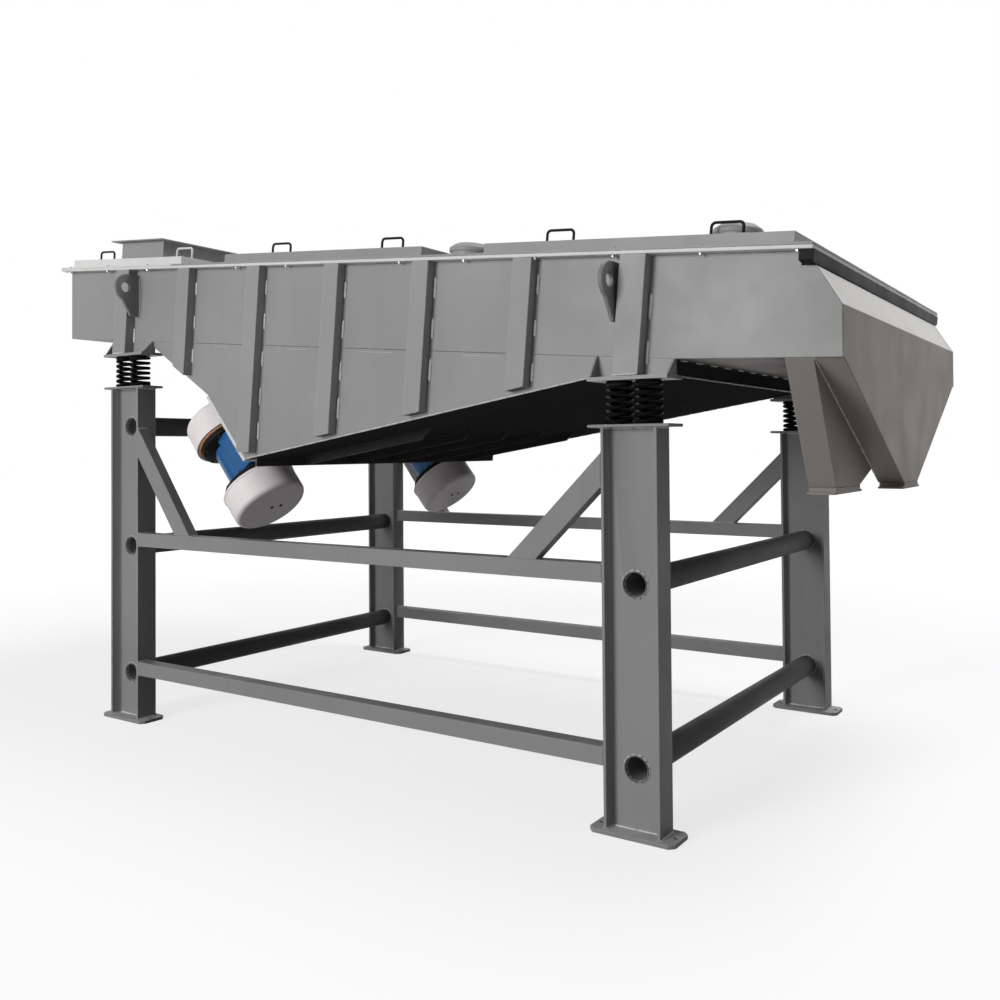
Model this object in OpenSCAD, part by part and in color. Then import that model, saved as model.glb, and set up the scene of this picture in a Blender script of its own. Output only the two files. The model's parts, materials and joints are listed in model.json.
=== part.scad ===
// Linear vibrating screen: a closed, inclined screening box with two vibration motors under its hopper,
// carried by eight coil springs on a welded frame with I-section legs.
// X runs along the machine from feed to discharge, Y runs across it, and Z is up from the floor.
// The origin is on the floor, midway between the four legs. The near side is -Y.

/* [Frame] */
// Leg spacing along the machine, centre to centre
leg_span_x = 2600; // [2200:10:3000]
// Leg centres outside the box sides
leg_beside = 7.5; // [0:0.5:20]
// Height of the feed-end leg tops above the floor
leg_top_feed = 1535; // [1400:5:1700]
// Leg I-section height, seen from the near side
leg_w = 200; // [160:5:260]
// Leg I-section flange width across the machine
leg_d = 98; // [80:1:106]
// Leg I-section web thickness
leg_web = 8; // [6:0.5:12]
// Leg I-section flange thickness
leg_flange = 11; // [8:0.5:14]
// Base plate length
base_l = 300; // [270:5:360]
// Base plate width
base_w = 130; // [110:5:180]
// Base plate thickness
base_t = 14; // [10:1:25]
// Anchor hole diameter
anchor_d = 18; // [12:1:24]
// Anchor hole spacing on one base plate
anchor_pitch = 260; // [240:5:270]
// Leg cap plate length
cap_l = 290; // [260:5:340]
// Leg cap plate width
cap_w = 112; // [104:1:150]
// Leg cap plate thickness
cap_t = 10; // [8:1:20]
// Cross tube outside diameter
tube_d = 89; // [60:1:114]
// Cross tube wall
tube_wall = 5; // [3:0.5:8]
// How far a cross tube stands out of the leg web
tube_proud = 8; // [2:1:20]
// Gap round a cross tube in the leg web
tube_gap = 0.4; // [0.2:0.1:0.8]
// Height of the lower cross tubes
tube_z_lower = 210; // [150:5:400]
// Height of the upper cross tubes
tube_z_upper = 800; // [700:5:1000]
// Height of the third cross tube at the feed end
tube_z_top = 1358; // [1200:5:1400]
// Side rail section size
rail_w = 62; // [50:1:80]
// Top of the lower side rails
rail_z_lower = 276; // [200:2:400]
// Top of the upper side rails
rail_z_upper = 866; // [700:2:1000]
// Brace depth, seen from the near side
brace_h = 80; // [50:1:100]
// Brace thickness across the machine
brace_w = 50; // [30:1:60]
// Horizontal run of a brace along its centre line
brace_run = 310; // [250:5:450]
// Rise of a feed-end brace along its centre line
brace_rise_feed = 415; // [300:5:450]
// Rise of a discharge-end brace along its centre line
brace_rise_discharge = 305; // [250:5:350]

/* [Springs] */
// Spring outside diameter
spring_d = 95; // [80:1:100]
// Spring wire diameter
spring_wire = 14; // [10:0.5:16]
// Spring length between its seats
spring_l = 142; // [130:1:180]
// Spacing of the two springs on one leg
spring_pitch = 102; // [101:1:115]
// Working turns of a spring
spring_turns = 5.5; // [4:0.5:6]
// Gap between the springs and the seats above them
spring_gap = 0.3; // [0.2:0.1:0.5]

/* [Box] */
// Slope of the box down towards the discharge end, in degrees
tilt = 5; // [3:0.5:8]
// Width over the side plates
box_w = 1800; // [1600:5:2000]
// Side plate and floor thickness
plate_t = 8; // [5:0.5:12]
// Feed end of the box, past the feed leg centres
feed_over = 502; // [450:2:600]
// Discharge end of the box, past the discharge leg centres
discharge_over = 660; // [620:2:800]
// Depth of the box walls below the cover joint
wall_depth = 350; // [330:2:380]
// Reach of the hopper's start under the feed spring brackets
hopper_lead = 50; // [20:1:70]
// Lowest edge of the hopper along the box, back from the origin
hopper_low = 473; // [440:1:490]
// Depth of the hopper below the cover joint
hopper_depth = 840; // [800:2:870]
// How far the hopper ends short of the discharge spring brackets
hopper_tail = 10; // [5:1:20]
// Length of the motor plate along its slope
motor_plate_l = 370; // [350:2:390]
// Motor plate thickness
motor_plate_t = 16; // [12:1:18]
// Flange thickness along the top of the walls
flange_t = 12; // [8:1:16]
// Flange reach outside the side plates
flange_out = 42; // [30:1:60]
// Flange overhang past the feed end
flange_feed = 22; // [10:1:60]
// Flange end short of the box's discharge end
flange_short = 69; // [60:1:90]
// Stiffener channel width
rib_w = 78; // [60:1:100]
// Stiffener channel depth
rib_d = 43; // [30:1:60]
// Stiffener channel wall
rib_t = 6; // [4:0.5:10]
// First stiffener along the box, back from the origin
rib_start = 896; // [880:2:910]
// Stiffener spacing along the box
rib_pitch = 449; // [430:1:455]
// Stiffeners on each side
rib_count = 5; // [4:1:5]
// How far a stiffener stops short of the lower edge of the hopper side
rib_short = 18; // [5:1:40]
// Spring stiffener width
post_w = 94; // [80:1:110]
// Spring stiffener depth
post_d = 46; // [40:1:55]
// Depth below the cover joint at which a spring stiffener stands over its leg
post_mid = 220; // [150:5:260]
// How far the feed-end spring stiffeners stand back from their legs
post_back = 45; // [0:1:48]
// Gap under a spring stiffener, above its seat plate
post_gap = 6; // [2:1:15]
// Seat plate length over the springs
seat_l = 284; // [260:2:300]
// Seat plate width over the springs
seat_w = 120; // [110:1:140]
// Seat plate thickness
seat_t = 12; // [8:1:18]
// Gap between the discharge seat plates and the hopper's underside
seat_clear = 7; // [4:1:20]
// Lifting lug reach from the side plate
lug_reach = 128; // [110:1:150]
// Lifting lug height
lug_h = 196; // [180:1:230]
// How far a lifting lug sits below the flange
lug_drop = 22; // [5:1:40]
// Least gap between a lifting lug and the spring stiffener beside it
lug_gap = 0.5; // [0.3:0.1:5]
// Lifting lug thickness
lug_t = 16; // [12:1:25]
// Lifting lug hole diameter
lug_hole = 46; // [30:1:48]
// Lifting lug hole distance from the side plate
lug_hole_out = 72; // [72:1:80]
// Underside rib height
keel_h = 40; // [25:1:60]
// Underside rib thickness
keel_t = 8; // [6:1:12]
// Underside ribs across the hopper
keel_count = 5; // [3:1:7]
// Length of the underside ribs
keel_l = 760; // [500:10:900]
// Screen deck depth below the cover joint
deck_depth = 240; // [200:2:280]
// Screen deck frame thickness
deck_t = 24; // [16:1:40]
// Screen deck frame bar width
deck_bar = 50; // [40:1:80]
// Openings along the screen deck frame
deck_columns = 9; // [6:1:12]
// Openings across the screen deck frame
deck_rows = 5; // [4:1:8]

/* [Discharge] */
// Depth below the cover joint where the end hood starts
hood_top = 62; // [50:1:80]
// Start of the hood's slope past the flange end
hood_ahead = 2; // [0:1:10]
// Rise of the walls' lower edge from the hopper to the discharge end
end_rise = 22; // [5:1:40]
// Distance of the cross plate under the hopper beyond the discharge legs
cross_out = 100; // [60:1:120]
// Depth below the cover joint of the hood's knee
hood_knee = 175; // [150:1:220]
// Length of each outlet chute along the machine
chute_l = 86; // [60:1:110]
// Height of the outlet chutes' lower ends above the floor
chute_z = 1112; // [1000:2:1200]
// Width of the front chute's outlet
front_out_w = 226; // [150:2:400]
// Width of the rear chute's outlet
rear_out_w = 292; // [200:2:400]
// Middle of the rear chute's outlet, in from the near side plate
rear_out_in = 377; // [300:1:420]
// Outlet flange reach
outlet_flange = 22; // [15:1:24]
// Outlet flange height
outlet_flange_h = 22; // [10:1:40]

/* [Covers] */
// Cover rim thickness
cover_rim_t = 8; // [5:1:12]
// Cover height above its rim
cover_h = 44; // [30:1:70]
// Cover sheet thickness
cover_t = 4; // [3:0.5:8]
// Cover pan inset from the flange edge along the sides
cover_inset = 58; // [50:1:80]
// Feed cover pan inset from the flange edge at the feed end
cover_feed_inset = 15; // [10:1:60]
// Discharge cover pan inset from the flange end
cover_last_inset = 73; // [50:1:90]
// Feed cover end along the box, back from the origin
cover_feed_end = 985; // [970:5:1100]
// Main cover start along the box, back from the origin
cover_main_start = 700; // [650:5:760]
// Main cover end along the box
cover_main_end = 412; // [350:2:420]
// Discharge cover start along the box
cover_last_start = 690; // [680:2:760]
// Gap between neighbouring covers
cover_gap = 1; // [0.5:0.5:3]
// Feed inlet length along the box
inlet_l = 318; // [280:2:340]
// Feed inlet inset from the pan sides
inlet_in = 84; // [74:2:280]
// Feed inlet middle along the box, back from the origin
inlet_u = 1392; // [1370:2:1400]
// Feed inlet height above the cover
inlet_h = 98; // [60:1:150]
// Feed inlet sheet thickness
inlet_t = 6; // [4:1:10]
// Feed inlet flange reach
inlet_flange = 38; // [25:1:40]
// Handle length
handle_l = 120; // [90:1:150]
// Handle height
handle_h = 68; // [50:1:90]
// Handle rod diameter
handle_rod = 10; // [8:0.5:14]
// Handle place across the box, in from the pan sides
handle_in = 139; // [80:1:280]
// Handle distance from the pan ends on the main and discharge covers
handle_inset = 240; // [100:5:300]
// Distance of the middle cover's first handle from its edge
handle_lead = 210; // [100:5:300]
// Distance of the middle and last covers' second handles from their edges
handle_trail = 268; // [100:2:300]
// Handle distance from the pan start on the feed cover
handle_feed_start = 70; // [65:1:120]
// Handle distance from the pan end on the feed cover
handle_feed_end = 160; // [80:1:160]
// Inspection cap diameter
port_d = 166; // [120:2:180]
// Inspection cap height
port_h = 74; // [40:1:90]
// Inspection cap lip past its neck
port_lip = 6; // [3:1:12]
// Inspection cap place on the gap plate, in from its near edge
port_gap_in = 222; // [160:2:340]
// How far the gap plate's inspection port stands off its middle, towards the feed end
port_gap_back = 32; // [0:1:40]
// Inspection cap place on the discharge cover, in from its near edge
port_last_in = 300; // [300:2:640]
// Inspection cap distance from the discharge cover's start
port_last_u = 865; // [500:5:900]

/* [Motors] */
// Motor place across the box, in from the side plates
motor_in = 222; // [210:2:330]
// Motor length over its covers
motor_l = 540; // [500:2:600]
// Motor axis distance from the hopper's sheet
motor_off = 197; // [190:1:215]
// Motor middle along the plate, up from the hopper's lowest edge
motor_up = 150; // [120:1:180]
// Weight cover diameter
motor_cover_d = 336; // [300:2:344]
// Weight cover length
motor_cover_l = 132; // [100:1:150]
// Weight cover edge radius
motor_cover_r = 22; // [8:1:40]
// Motor barrel diameter
motor_d = 212; // [180:2:260]
// Motor barrel wall that the feet run into
motor_wall = 10; // [6:1:16]
// Motor end shield diameter
motor_shield_d = 300; // [260:2:320]
// Motor end shield thickness
motor_shield_t = 26; // [16:1:36]
// Cover seal thickness
motor_seal_t = 6; // [4:1:10]
// Cover seal reach past the end shield
motor_seal_lip = 8; // [4:1:12]
// Gap between a cover seal and the motor barrel
motor_seal_gap = 0.2; // [0.1:0.1:0.5]
// Motor foot width
motor_foot_w = 62; // [40:1:90]
// Motor foot spacing
motor_foot_pitch = 180; // [160:2:210]

/* [Hidden] */

$fn = 48;
eps = 1;

frame_grey = "#6f6e6d";
box_grey = "#8f8e8d";
dark_grey = "#4a4a49";
steel_black = "#1b1b1c";
motor_blue = "#1f5f9f";
cover_white = "#c9c1bf";
seal_orange = "#c07a3a";

leg_x = leg_span_x / 2;
leg_y = box_w / 2 + leg_beside;
leg_out = leg_y + leg_d / 2;
leg_drop = leg_span_x * tan(tilt);
leg_top_discharge = leg_top_feed - leg_drop;
rail_l = leg_span_x - leg_w;

feed_x = leg_x + feed_over;
discharge_x = leg_x + discharge_over;
half_w = box_w / 2;
inner_w = box_w - 2 * plate_t;
wall_top = -cover_rim_t - flange_t;
seam_w = -wall_depth;
end_w = seam_w + end_rise;
flange_y = half_w + flange_out;
pan_y = flange_y - cover_inset;
inlet_w = 2 * (pan_y - inlet_in);
handle_y = pan_y - handle_in;
motor_y = half_w - motor_in;
bracket_x = leg_x - seat_l / 2;
hopper_start = hopper_lead - u_at(-bracket_x, seam_w);
hopper_end = u_at(leg_x + seat_l / 2, seam_w) - hopper_tail;

// Slope of the hopper's underside, as rise over run along the box
hopper_slope = (hopper_depth - wall_depth) / (hopper_low + hopper_end);
motor_ang = 45;
motor_plate_run = motor_plate_l * cos(motor_ang);
hopper_turn = [-hopper_low - motor_plate_run, -hopper_depth + motor_plate_run];

seat_z_feed = leg_top_feed + cap_t + spring_l;
seat_z_discharge = leg_top_discharge + cap_t + spring_l;

// Rise from the seat plates to the foot of the box walls, which clears the hopper's underside
bracket_end_u = line_u(bracket_x, keel_w(0), hopper_slope);
bracket_rise = seat_clear + (seam_w - leg_x * sin(tilt)) / cos(tilt)
    + bracket_end_u * sin(tilt) - keel_w(bracket_end_u) * cos(tilt);

// Height of the cover joint plane over the origin, carried up from the spring seats
joint_z = seat_z_feed + seat_t + bracket_rise - (seam_w + leg_x * sin(tilt)) / cos(tilt);

post_feed_u = u_at(-leg_x - post_back, -post_mid);
post_discharge_u = u_at(leg_x, -post_mid);
// The lugs stand on whole millimetres, clear of the sloping stiffeners
lug_feed_x = ceil(x_at(post_feed_u + post_w / 2, wall_top) + lug_gap);
lug_discharge_x = floor(x_at(post_discharge_u - post_w / 2, wall_top - lug_drop - lug_h - lug_t) - lug_gap);
flange_start = -u_at(feed_x + flange_feed, 0);
flange_end = u_at(discharge_x, 0) - flange_short;
hood_start = flange_end + hood_ahead;
handle_places = [
    flange_start + cover_feed_inset + handle_feed_start,
    -cover_feed_end - handle_feed_end,
    -cover_main_start + handle_lead,
    cover_main_end - handle_trail,
    cover_last_start + handle_inset,
    flange_end - cover_last_inset - handle_trail];
port_places = [
    [(cover_main_end + cover_last_start) / 2 - port_gap_back, port_gap_in - flange_y, 0],
    [cover_last_start + port_last_u, port_last_in - flange_y, cover_h]];

chute_x2 = discharge_x - chute_l;
chute_x1 = chute_x2 - chute_l;
front_out = [-front_out_w / 2, front_out_w / 2];
rear_out_y = rear_out_in - half_w;
rear_out = [rear_out_y - rear_out_w / 2, rear_out_y + rear_out_w / 2];

barrel_half = motor_l / 2 - motor_cover_l;

// Coil spring drawing steps and the wire's middle line
wire_sides = 6;
turn_steps = 14;
spring_free = spring_l - spring_gap;
coil_r = (spring_d - spring_wire) / 2;
wire_flat = spring_wire / 2 * cos(180 / wire_sides);
end_turn = 0.75;

// Distance along the box of the point at height w in the box that stands at x in the machine
function u_at(x, w) = (x - w * sin(tilt)) / cos(tilt);

// Height above the floor of the point at x that lies at height w in the box
function z_at(x, w) = joint_z + (w - x * sin(tilt)) / cos(tilt);

// Place along the machine of the point at u along the box and at height w in it
function x_at(u, w) = u * cos(tilt) + w * sin(tilt);

// Height in the box of the point at u along it that stands z above the floor
function box_w_at(u, z) = (z - joint_z + u * sin(tilt)) / cos(tilt);

// Height in the box of the hopper's sloping underside at u along the box
function keel_w(u) = -hopper_depth + (u + hopper_low) * hopper_slope;

// Rising lower edge of the discharge end, as rise over run along the box
lip_slope = end_rise / (u_at(discharge_x, end_w) - hopper_end);

// Height in the box of that edge at u along the box
function lip_w(u) = seam_w + (u - hopper_end) * lip_slope;

// Distance along the box where that edge stands at x in the machine
function lip_u(x) = line_u(x, lip_w(0), lip_slope);

// Height above the floor of the hopper's underside at x in the machine
function keel_z(x) = z_at(x, keel_w(line_u(x, keel_w(0), hopper_slope)));

// Slope of the hopper's back, as rise over run along the box
back_slope = (hopper_turn[1] - seam_w) / (hopper_turn[0] + hopper_start);

// Height in the box of the hopper's back at u along the box
function back_w(u) = seam_w + (u + hopper_start) * back_slope;

// Distance along the box where a sloping line, of height w0 at u = 0, stands at x in the machine
function line_u(x, w0, slope) = (x - w0 * sin(tilt)) / (cos(tilt) + slope * sin(tilt));

// Lower end of a stiffener at u along the box: hopper back, motor plate, then sloping underside
function rib_foot(u) =
    u < hopper_turn[0] ? back_w(u)
    : u < -hopper_low ? hopper_turn[1] - (u - hopper_turn[0]) * tan(motor_ang)
    : keel_w(u);

// Places children in the sloping frame of the box, with X along it and Z square to it
module in_box() {
    translate([0, 0, joint_z])
        rotate([0, tilt, 0])
            children();
}

// Extrudes an outline drawn in X and Z from y0 to y1
module along_y(y0, y1) {
    translate([0, y1, 0])
        rotate([90, 0, 0])
            linear_extrude(y1 - y0)
                children();
}

// Extrudes an outline drawn in Y and Z from x0 to x1
module along_x(x0, x1) {
    translate([x0, 0, 0])
        rotate([90, 0, 90])
            linear_extrude(x1 - x0)
                children();
}

// Repeats children on both sides of the machine
module both_sides() {
    children();
    mirror([0, 1, 0]) children();
}

function leg_tube_z(feed) = feed ? [tube_z_lower, tube_z_upper, tube_z_top] : [tube_z_lower, tube_z_upper];

// An I-section leg on the near side, its web midway between the flange tips
module leg(x, top, feed) {
    web_y = -leg_y - leg_web / 2;
    color(frame_grey)
    difference() {
        translate([x - leg_w / 2, -leg_out, base_t])
            cube([leg_w, leg_d, top - base_t]);
        for (y = [-leg_out - eps, -leg_y + leg_web / 2])
            translate([x - leg_w / 2 + leg_flange, y, 0])
                cube([leg_w - 2 * leg_flange, (leg_d - leg_web) / 2 + eps, top + eps]);
        for (z = leg_tube_z(feed))
            translate([x, web_y - eps, z])
                rotate([-90, 0, 0])
                    cylinder(d = tube_d + 2 * tube_gap, h = leg_web + 2 * eps);
    }
}

module leg_feed_near() { leg(-leg_x, leg_top_feed, true); }

module leg_feed_far() { mirror([0, 1, 0]) leg_feed_near(); }

module leg_discharge_near() { leg(leg_x, leg_top_discharge, false); }

module leg_discharge_far() { mirror([0, 1, 0]) leg_discharge_near(); }

module base_plates() {
    color(frame_grey)
    both_sides()
        for (x = [-leg_x, leg_x])
            translate([x, -leg_y, 0])
                difference() {
                    translate([-base_l / 2, -base_w / 2, 0])
                        cube([base_l, base_w, base_t]);
                    for (side = [-1, 1])
                        translate([side * anchor_pitch / 2, 0, -eps])
                            cylinder(d = anchor_d, h = base_t + 2 * eps);
                }
}

module cap_plates() {
    color(frame_grey)
    both_sides()
        for (place = [[-leg_x, leg_top_feed], [leg_x, leg_top_discharge]])
            translate([place[0] - cap_l / 2, -leg_y - cap_w / 2, place[1]])
                cube([cap_l, cap_w, cap_t]);
}

// A round tube from leg to leg across the machine
module cross_tube(x, z) {
    reach = leg_y + leg_web / 2 + tube_proud;
    translate([x, -reach, z])
        rotate([-90, 0, 0])
            difference() {
                cylinder(d = tube_d, h = 2 * reach);
                translate([0, 0, -eps])
                    cylinder(d = tube_d - 2 * tube_wall, h = 2 * reach + 2 * eps);
            }
}

module cross_tubes_feed() {
    color(frame_grey)
    for (z = leg_tube_z(true))
        cross_tube(-leg_x, z);
}

module cross_tubes_discharge() {
    color(frame_grey)
    for (z = leg_tube_z(false))
        cross_tube(leg_x, z);
}

module side_rails(top) {
    color(frame_grey)
    both_sides()
        translate([-rail_l / 2, -leg_out, top - rail_w])
            cube([rail_l, rail_w, rail_w]);
}

module side_rails_lower() { side_rails(rail_z_lower); }

module side_rails_upper() { side_rails(rail_z_upper); }

// A brace from the inner flange of a leg down to the upper rail, drawn at the feed end
module corner_brace(rise) {
    ang = atan(rise / brace_run);
    half_v = brace_h / cos(ang) / 2;
    half_h = brace_h / sin(ang) / 2;
    face = -leg_x + leg_w / 2;
    along_y(-leg_out, -leg_out + brace_w)
        polygon([
            [face, rail_z_upper + rise + half_v],
            [face, rail_z_upper + rise - half_v],
            [face + brace_run - half_h, rail_z_upper],
            [face + brace_run + half_h, rail_z_upper]]);
}

module corner_braces() {
    color(frame_grey)
    both_sides() {
        corner_brace(brace_rise_feed);
        mirror([1, 0, 0]) corner_brace(brace_rise_discharge);
    }
}

// Height of the wire's middle after a number of turns: closed end, working turns, closed end
function coil_z(turn) =
    wire_flat + (spring_free - 2 * wire_flat) * min(1, max(0, (turn - end_turn) / spring_turns));

// Coil spring with a flat part turn at each end, standing on z = 0
module coil_spring() {
    steps = ceil((spring_turns + 2 * end_turn) * turn_steps);
    rings = [for (i = [0:steps])
        let (turn = i / turn_steps)
        [for (k = [0:wire_sides - 1])
            let (a = 360 * (k + 0.5) / wire_sides, r = coil_r + spring_wire / 2 * sin(a))
            [r * cos(360 * turn), r * sin(360 * turn), coil_z(turn) - spring_wire / 2 * cos(a)]]];
    points = [for (ring = rings) each ring];
    sides = [for (i = [0:steps - 1], k = [0:wire_sides - 1])
        let (a = i * wire_sides + k, b = i * wire_sides + (k + 1) % wire_sides)
        [a, a + wire_sides, b + wire_sides, b]];
    first = [for (k = [0:wire_sides - 1]) k];
    last = [for (k = [wire_sides - 1:-1:0]) steps * wire_sides + k];
    polyhedron(points, concat([first], sides, [last]));
}

// The pair of springs on one near-side leg
module spring_pair(x, top) {
    color(steel_black)
    for (side = [-1, 1])
        translate([x + side * spring_pitch / 2, -leg_y, top + cap_t])
            coil_spring();
}

module springs_feed_near() { spring_pair(-leg_x, leg_top_feed); }

module springs_feed_far() { mirror([0, 1, 0]) springs_feed_near(); }

module springs_discharge_near() { spring_pair(leg_x, leg_top_discharge); }

module springs_discharge_far() { mirror([0, 1, 0]) springs_discharge_near(); }

// Upper side plate of the box, upright at both ends and cut back under the end flange
module side_plate_near() {
    color(box_grey)
    in_box()
        along_y(-half_w, -half_w + plate_t)
            polygon([
                [-u_at(feed_x, -wall_top), wall_top],
                [-u_at(feed_x, -seam_w), seam_w],
                [hopper_end, seam_w],
                [u_at(discharge_x, end_w), end_w],
                [u_at(discharge_x, -hood_knee), -hood_knee],
                [hood_start, -hood_top],
                [flange_end - flange_out, -hood_top],
                [flange_end - flange_out, wall_top]]);
}

module side_plate_far() { mirror([0, 1, 0]) side_plate_near(); }

// Lower side plate, upright at both ends against the spring brackets
module hopper_side_near() {
    start_u = line_u(-bracket_x, back_w(0), back_slope);
    color(box_grey)
    in_box()
        along_y(-half_w, -half_w + plate_t)
            polygon([
                [u_at(-bracket_x, seam_w), seam_w],
                [start_u, back_w(start_u)],
                hopper_turn,
                [-hopper_low, -hopper_depth],
                [bracket_end_u, keel_w(bracket_end_u)],
                [u_at(bracket_x, seam_w), seam_w]]);
}

module hopper_side_far() { mirror([0, 1, 0]) hopper_side_near(); }

module feed_end_wall() {
    color(box_grey)
    in_box()
        along_y(-inner_w / 2, inner_w / 2)
            polygon([
                [-u_at(feed_x, -wall_top), wall_top],
                [-u_at(feed_x, -seam_w), seam_w],
                [-u_at(feed_x, -seam_w) + plate_t, seam_w],
                [-u_at(feed_x, -wall_top) + plate_t, wall_top]]);
}

module feed_floor() {
    color(box_grey)
    in_box()
        along_y(-inner_w / 2, inner_w / 2)
            polygon([
                [-u_at(feed_x, -seam_w) + plate_t, seam_w],
                [-hopper_start, seam_w],
                [-hopper_start, seam_w + plate_t],
                [-u_at(feed_x, -seam_w) + plate_t, seam_w + plate_t]]);
}

module hopper_back() {
    start = [-hopper_start, seam_w];
    ang = atan2(start[1] - hopper_turn[1], hopper_turn[0] - start[0]);
    trim = plate_t * tan(ang / 2);
    color(box_grey)
    in_box()
        along_y(-inner_w / 2, inner_w / 2)
            polygon([
                start,
                hopper_turn,
                hopper_turn + [plate_t * tan(motor_ang - ang) / 2, plate_t],
                start + [trim, plate_t],
                start + [0, plate_t]]);
}

// Thick plate under the hopper that carries both motors
module motor_plate() {
    color(box_grey)
    in_box()
        translate([hopper_turn[0], 0, hopper_turn[1]])
            rotate([0, motor_ang, 0])
                translate([0, -half_w, -motor_plate_t])
                    cube([motor_plate_l, box_w, motor_plate_t]);
}

// Sloping floor under the screen, carried on the lower edges of the hopper sides
module hopper_bottom() {
    color(dark_grey)
    in_box()
        along_y(-inner_w / 2, inner_w / 2)
            polygon([
                [-hopper_low, -hopper_depth],
                [hopper_end, seam_w],
                [hopper_end, seam_w + plate_t],
                [-hopper_low, -hopper_depth + plate_t]]);
}

// Flat bars on the underside of the hopper floor, running up its slope
module hopper_keels() {
    run = keel_l * cos(atan(hopper_slope));
    step = inner_w / (keel_count + 1);
    start = -hopper_low + motor_plate_t;
    bar0 = start + keel_h;
    bar1 = bar0 + keel_t;
    color(dark_grey)
    in_box() {
        for (i = [1:keel_count])
            along_y(-inner_w / 2 + i * step - keel_t / 2, -inner_w / 2 + i * step + keel_t / 2)
                polygon([
                    [start, keel_w(start)],
                    [bar0, keel_w(bar0) - keel_h],
                    [start + run - keel_h, keel_w(start + run - keel_h) - keel_h],
                    [start + run, keel_w(start + run)]]);
        along_y(-inner_w / 2, inner_w / 2)
            polygon([
                [bar0, keel_w(bar0)],
                [bar0, keel_w(bar0) - keel_h],
                [bar1, keel_w(bar1) - keel_h],
                [bar1, keel_w(bar1)]]);
    }
}

// Plate on edge under the hopper floor, from one spring bracket across to the other
module cross_plate() {
    x0 = leg_x + cross_out;
    x1 = x0 + plate_t;
    foot = seat_z_discharge + seat_t;
    color(dark_grey)
    along_y(-inner_w / 2, inner_w / 2)
        polygon([[x0, foot], [x1, foot], [x1, keel_z(x1)], [x0, keel_z(x0)]]);
}

module discharge_floor() {
    color(dark_grey)
    in_box()
        along_y(-inner_w / 2, inner_w / 2)
            polygon([
                [hopper_end, seam_w],
                [lip_u(chute_x1), lip_w(lip_u(chute_x1))],
                [lip_u(chute_x1), lip_w(lip_u(chute_x1)) + plate_t],
                [hopper_end, seam_w + plate_t]]);
}

// Sloping hood and apron that close the box above the chutes
module end_hood() {
    knee_u = u_at(discharge_x, -hood_knee);
    foot_u = u_at(discharge_x, end_w);
    apron_u = flange_end - flange_out;
    color(box_grey)
    in_box()
        along_y(-inner_w / 2, inner_w / 2)
            polygon([
                [apron_u, wall_top],
                [apron_u, -hood_top],
                [hood_start, -hood_top],
                [knee_u, -hood_knee],
                [foot_u, end_w],
                [foot_u - plate_t, end_w],
                [knee_u - plate_t, -hood_knee - plate_t / 4],
                [hood_start - plate_t / 2, -hood_top - plate_t],
                [apron_u - plate_t, -hood_top - plate_t],
                [apron_u - plate_t, wall_top]]);
}

// A sheet funnel as deep as the box is wide at its top, narrowing to y0 and y1 at its outlet
module chute(x0, x1, y0, y1) {
    top0 = z_at(x0, end_w);
    color(box_grey)
    difference() {
        along_x(x0, x1)
            polygon([[-half_w, top0], [y0, chute_z], [y1, chute_z], [half_w, top0]]);
        along_x(x0 + plate_t, x1 - plate_t)
            polygon([
                [-half_w + 2 * plate_t, top0 + eps],
                [y0 + plate_t, chute_z],
                [y0 + plate_t, chute_z - eps],
                [y1 - plate_t, chute_z - eps],
                [y1 - plate_t, chute_z],
                [half_w - 2 * plate_t, top0 + eps]]);
        in_box()
            along_y(-box_w, box_w)
                polygon([
                    [lip_u(x0) - chute_l, lip_w(lip_u(x0) - chute_l)],
                    [lip_u(x1) + chute_l, lip_w(lip_u(x1) + chute_l)],
                    [lip_u(x1) + chute_l, 0],
                    [lip_u(x0) - chute_l, 0]]);
    }
}

module front_chute() { chute(chute_x2, discharge_x, front_out[0], front_out[1]); }

module rear_chute() { chute(chute_x1, chute_x2, rear_out[0], rear_out[1]); }

// Collar with an outward flange below a chute outlet
module outlet_flange_ring(x0, x1, y0, y1) {
    translate([x0, y0, chute_z - outlet_flange_h])
        difference() {
            union() {
                cube([x1 - x0, y1 - y0, outlet_flange_h]);
                translate([0, -outlet_flange, 0])
                    cube([x1 - x0, y1 - y0 + 2 * outlet_flange, plate_t]);
            }
            translate([plate_t, plate_t, -eps])
                cube([x1 - x0 - 2 * plate_t, y1 - y0 - 2 * plate_t, outlet_flange_h + 2 * eps]);
        }
}

module outlet_flanges() {
    color(box_grey) {
        outlet_flange_ring(chute_x2, discharge_x, front_out[0], front_out[1]);
        outlet_flange_ring(chute_x1, chute_x2, rear_out[0], rear_out[1]);
    }
}

// Channel laid flat on a side plate, drawn from its outline in the box frame
module plate_channel(u0, u1, depth, foot0, foot1) {
    difference() {
        along_y(-half_w - depth, -half_w)
            polygon([[u0, wall_top], [u0, foot0], [u1, foot1], [u1, wall_top]]);
        translate([u0 + rib_t, -half_w - depth + rib_t, -2 * hopper_depth])
            cube([u1 - u0 - 2 * rib_t, depth, 3 * hopper_depth]);
    }
}

module side_ribs_near() {
    color(box_grey)
    in_box()
        for (i = [0:rib_count - 1]) {
            u = -rib_start + i * rib_pitch;
            u0 = u - rib_w / 2;
            u1 = u + rib_w / 2;
            plate_channel(u0, u1, rib_d, rib_foot(u0) + rib_short, rib_foot(u1) + rib_short);
        }
}

module side_ribs_far() { mirror([0, 1, 0]) side_ribs_near(); }

// Channel square to the flange, from just over the seat plate up to the flange
module spring_post(u, seat) {
    u0 = u - post_w / 2;
    u1 = u + post_w / 2;
    foot = seat + seat_t + post_gap;
    plate_channel(u0, u1, post_d, box_w_at(u0, foot), box_w_at(u1, foot));
}

module spring_posts() {
    color(box_grey)
    both_sides()
        in_box() {
            spring_post(post_feed_u, seat_z_feed);
            spring_post(post_discharge_u, seat_z_discharge);
        }
}

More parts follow.
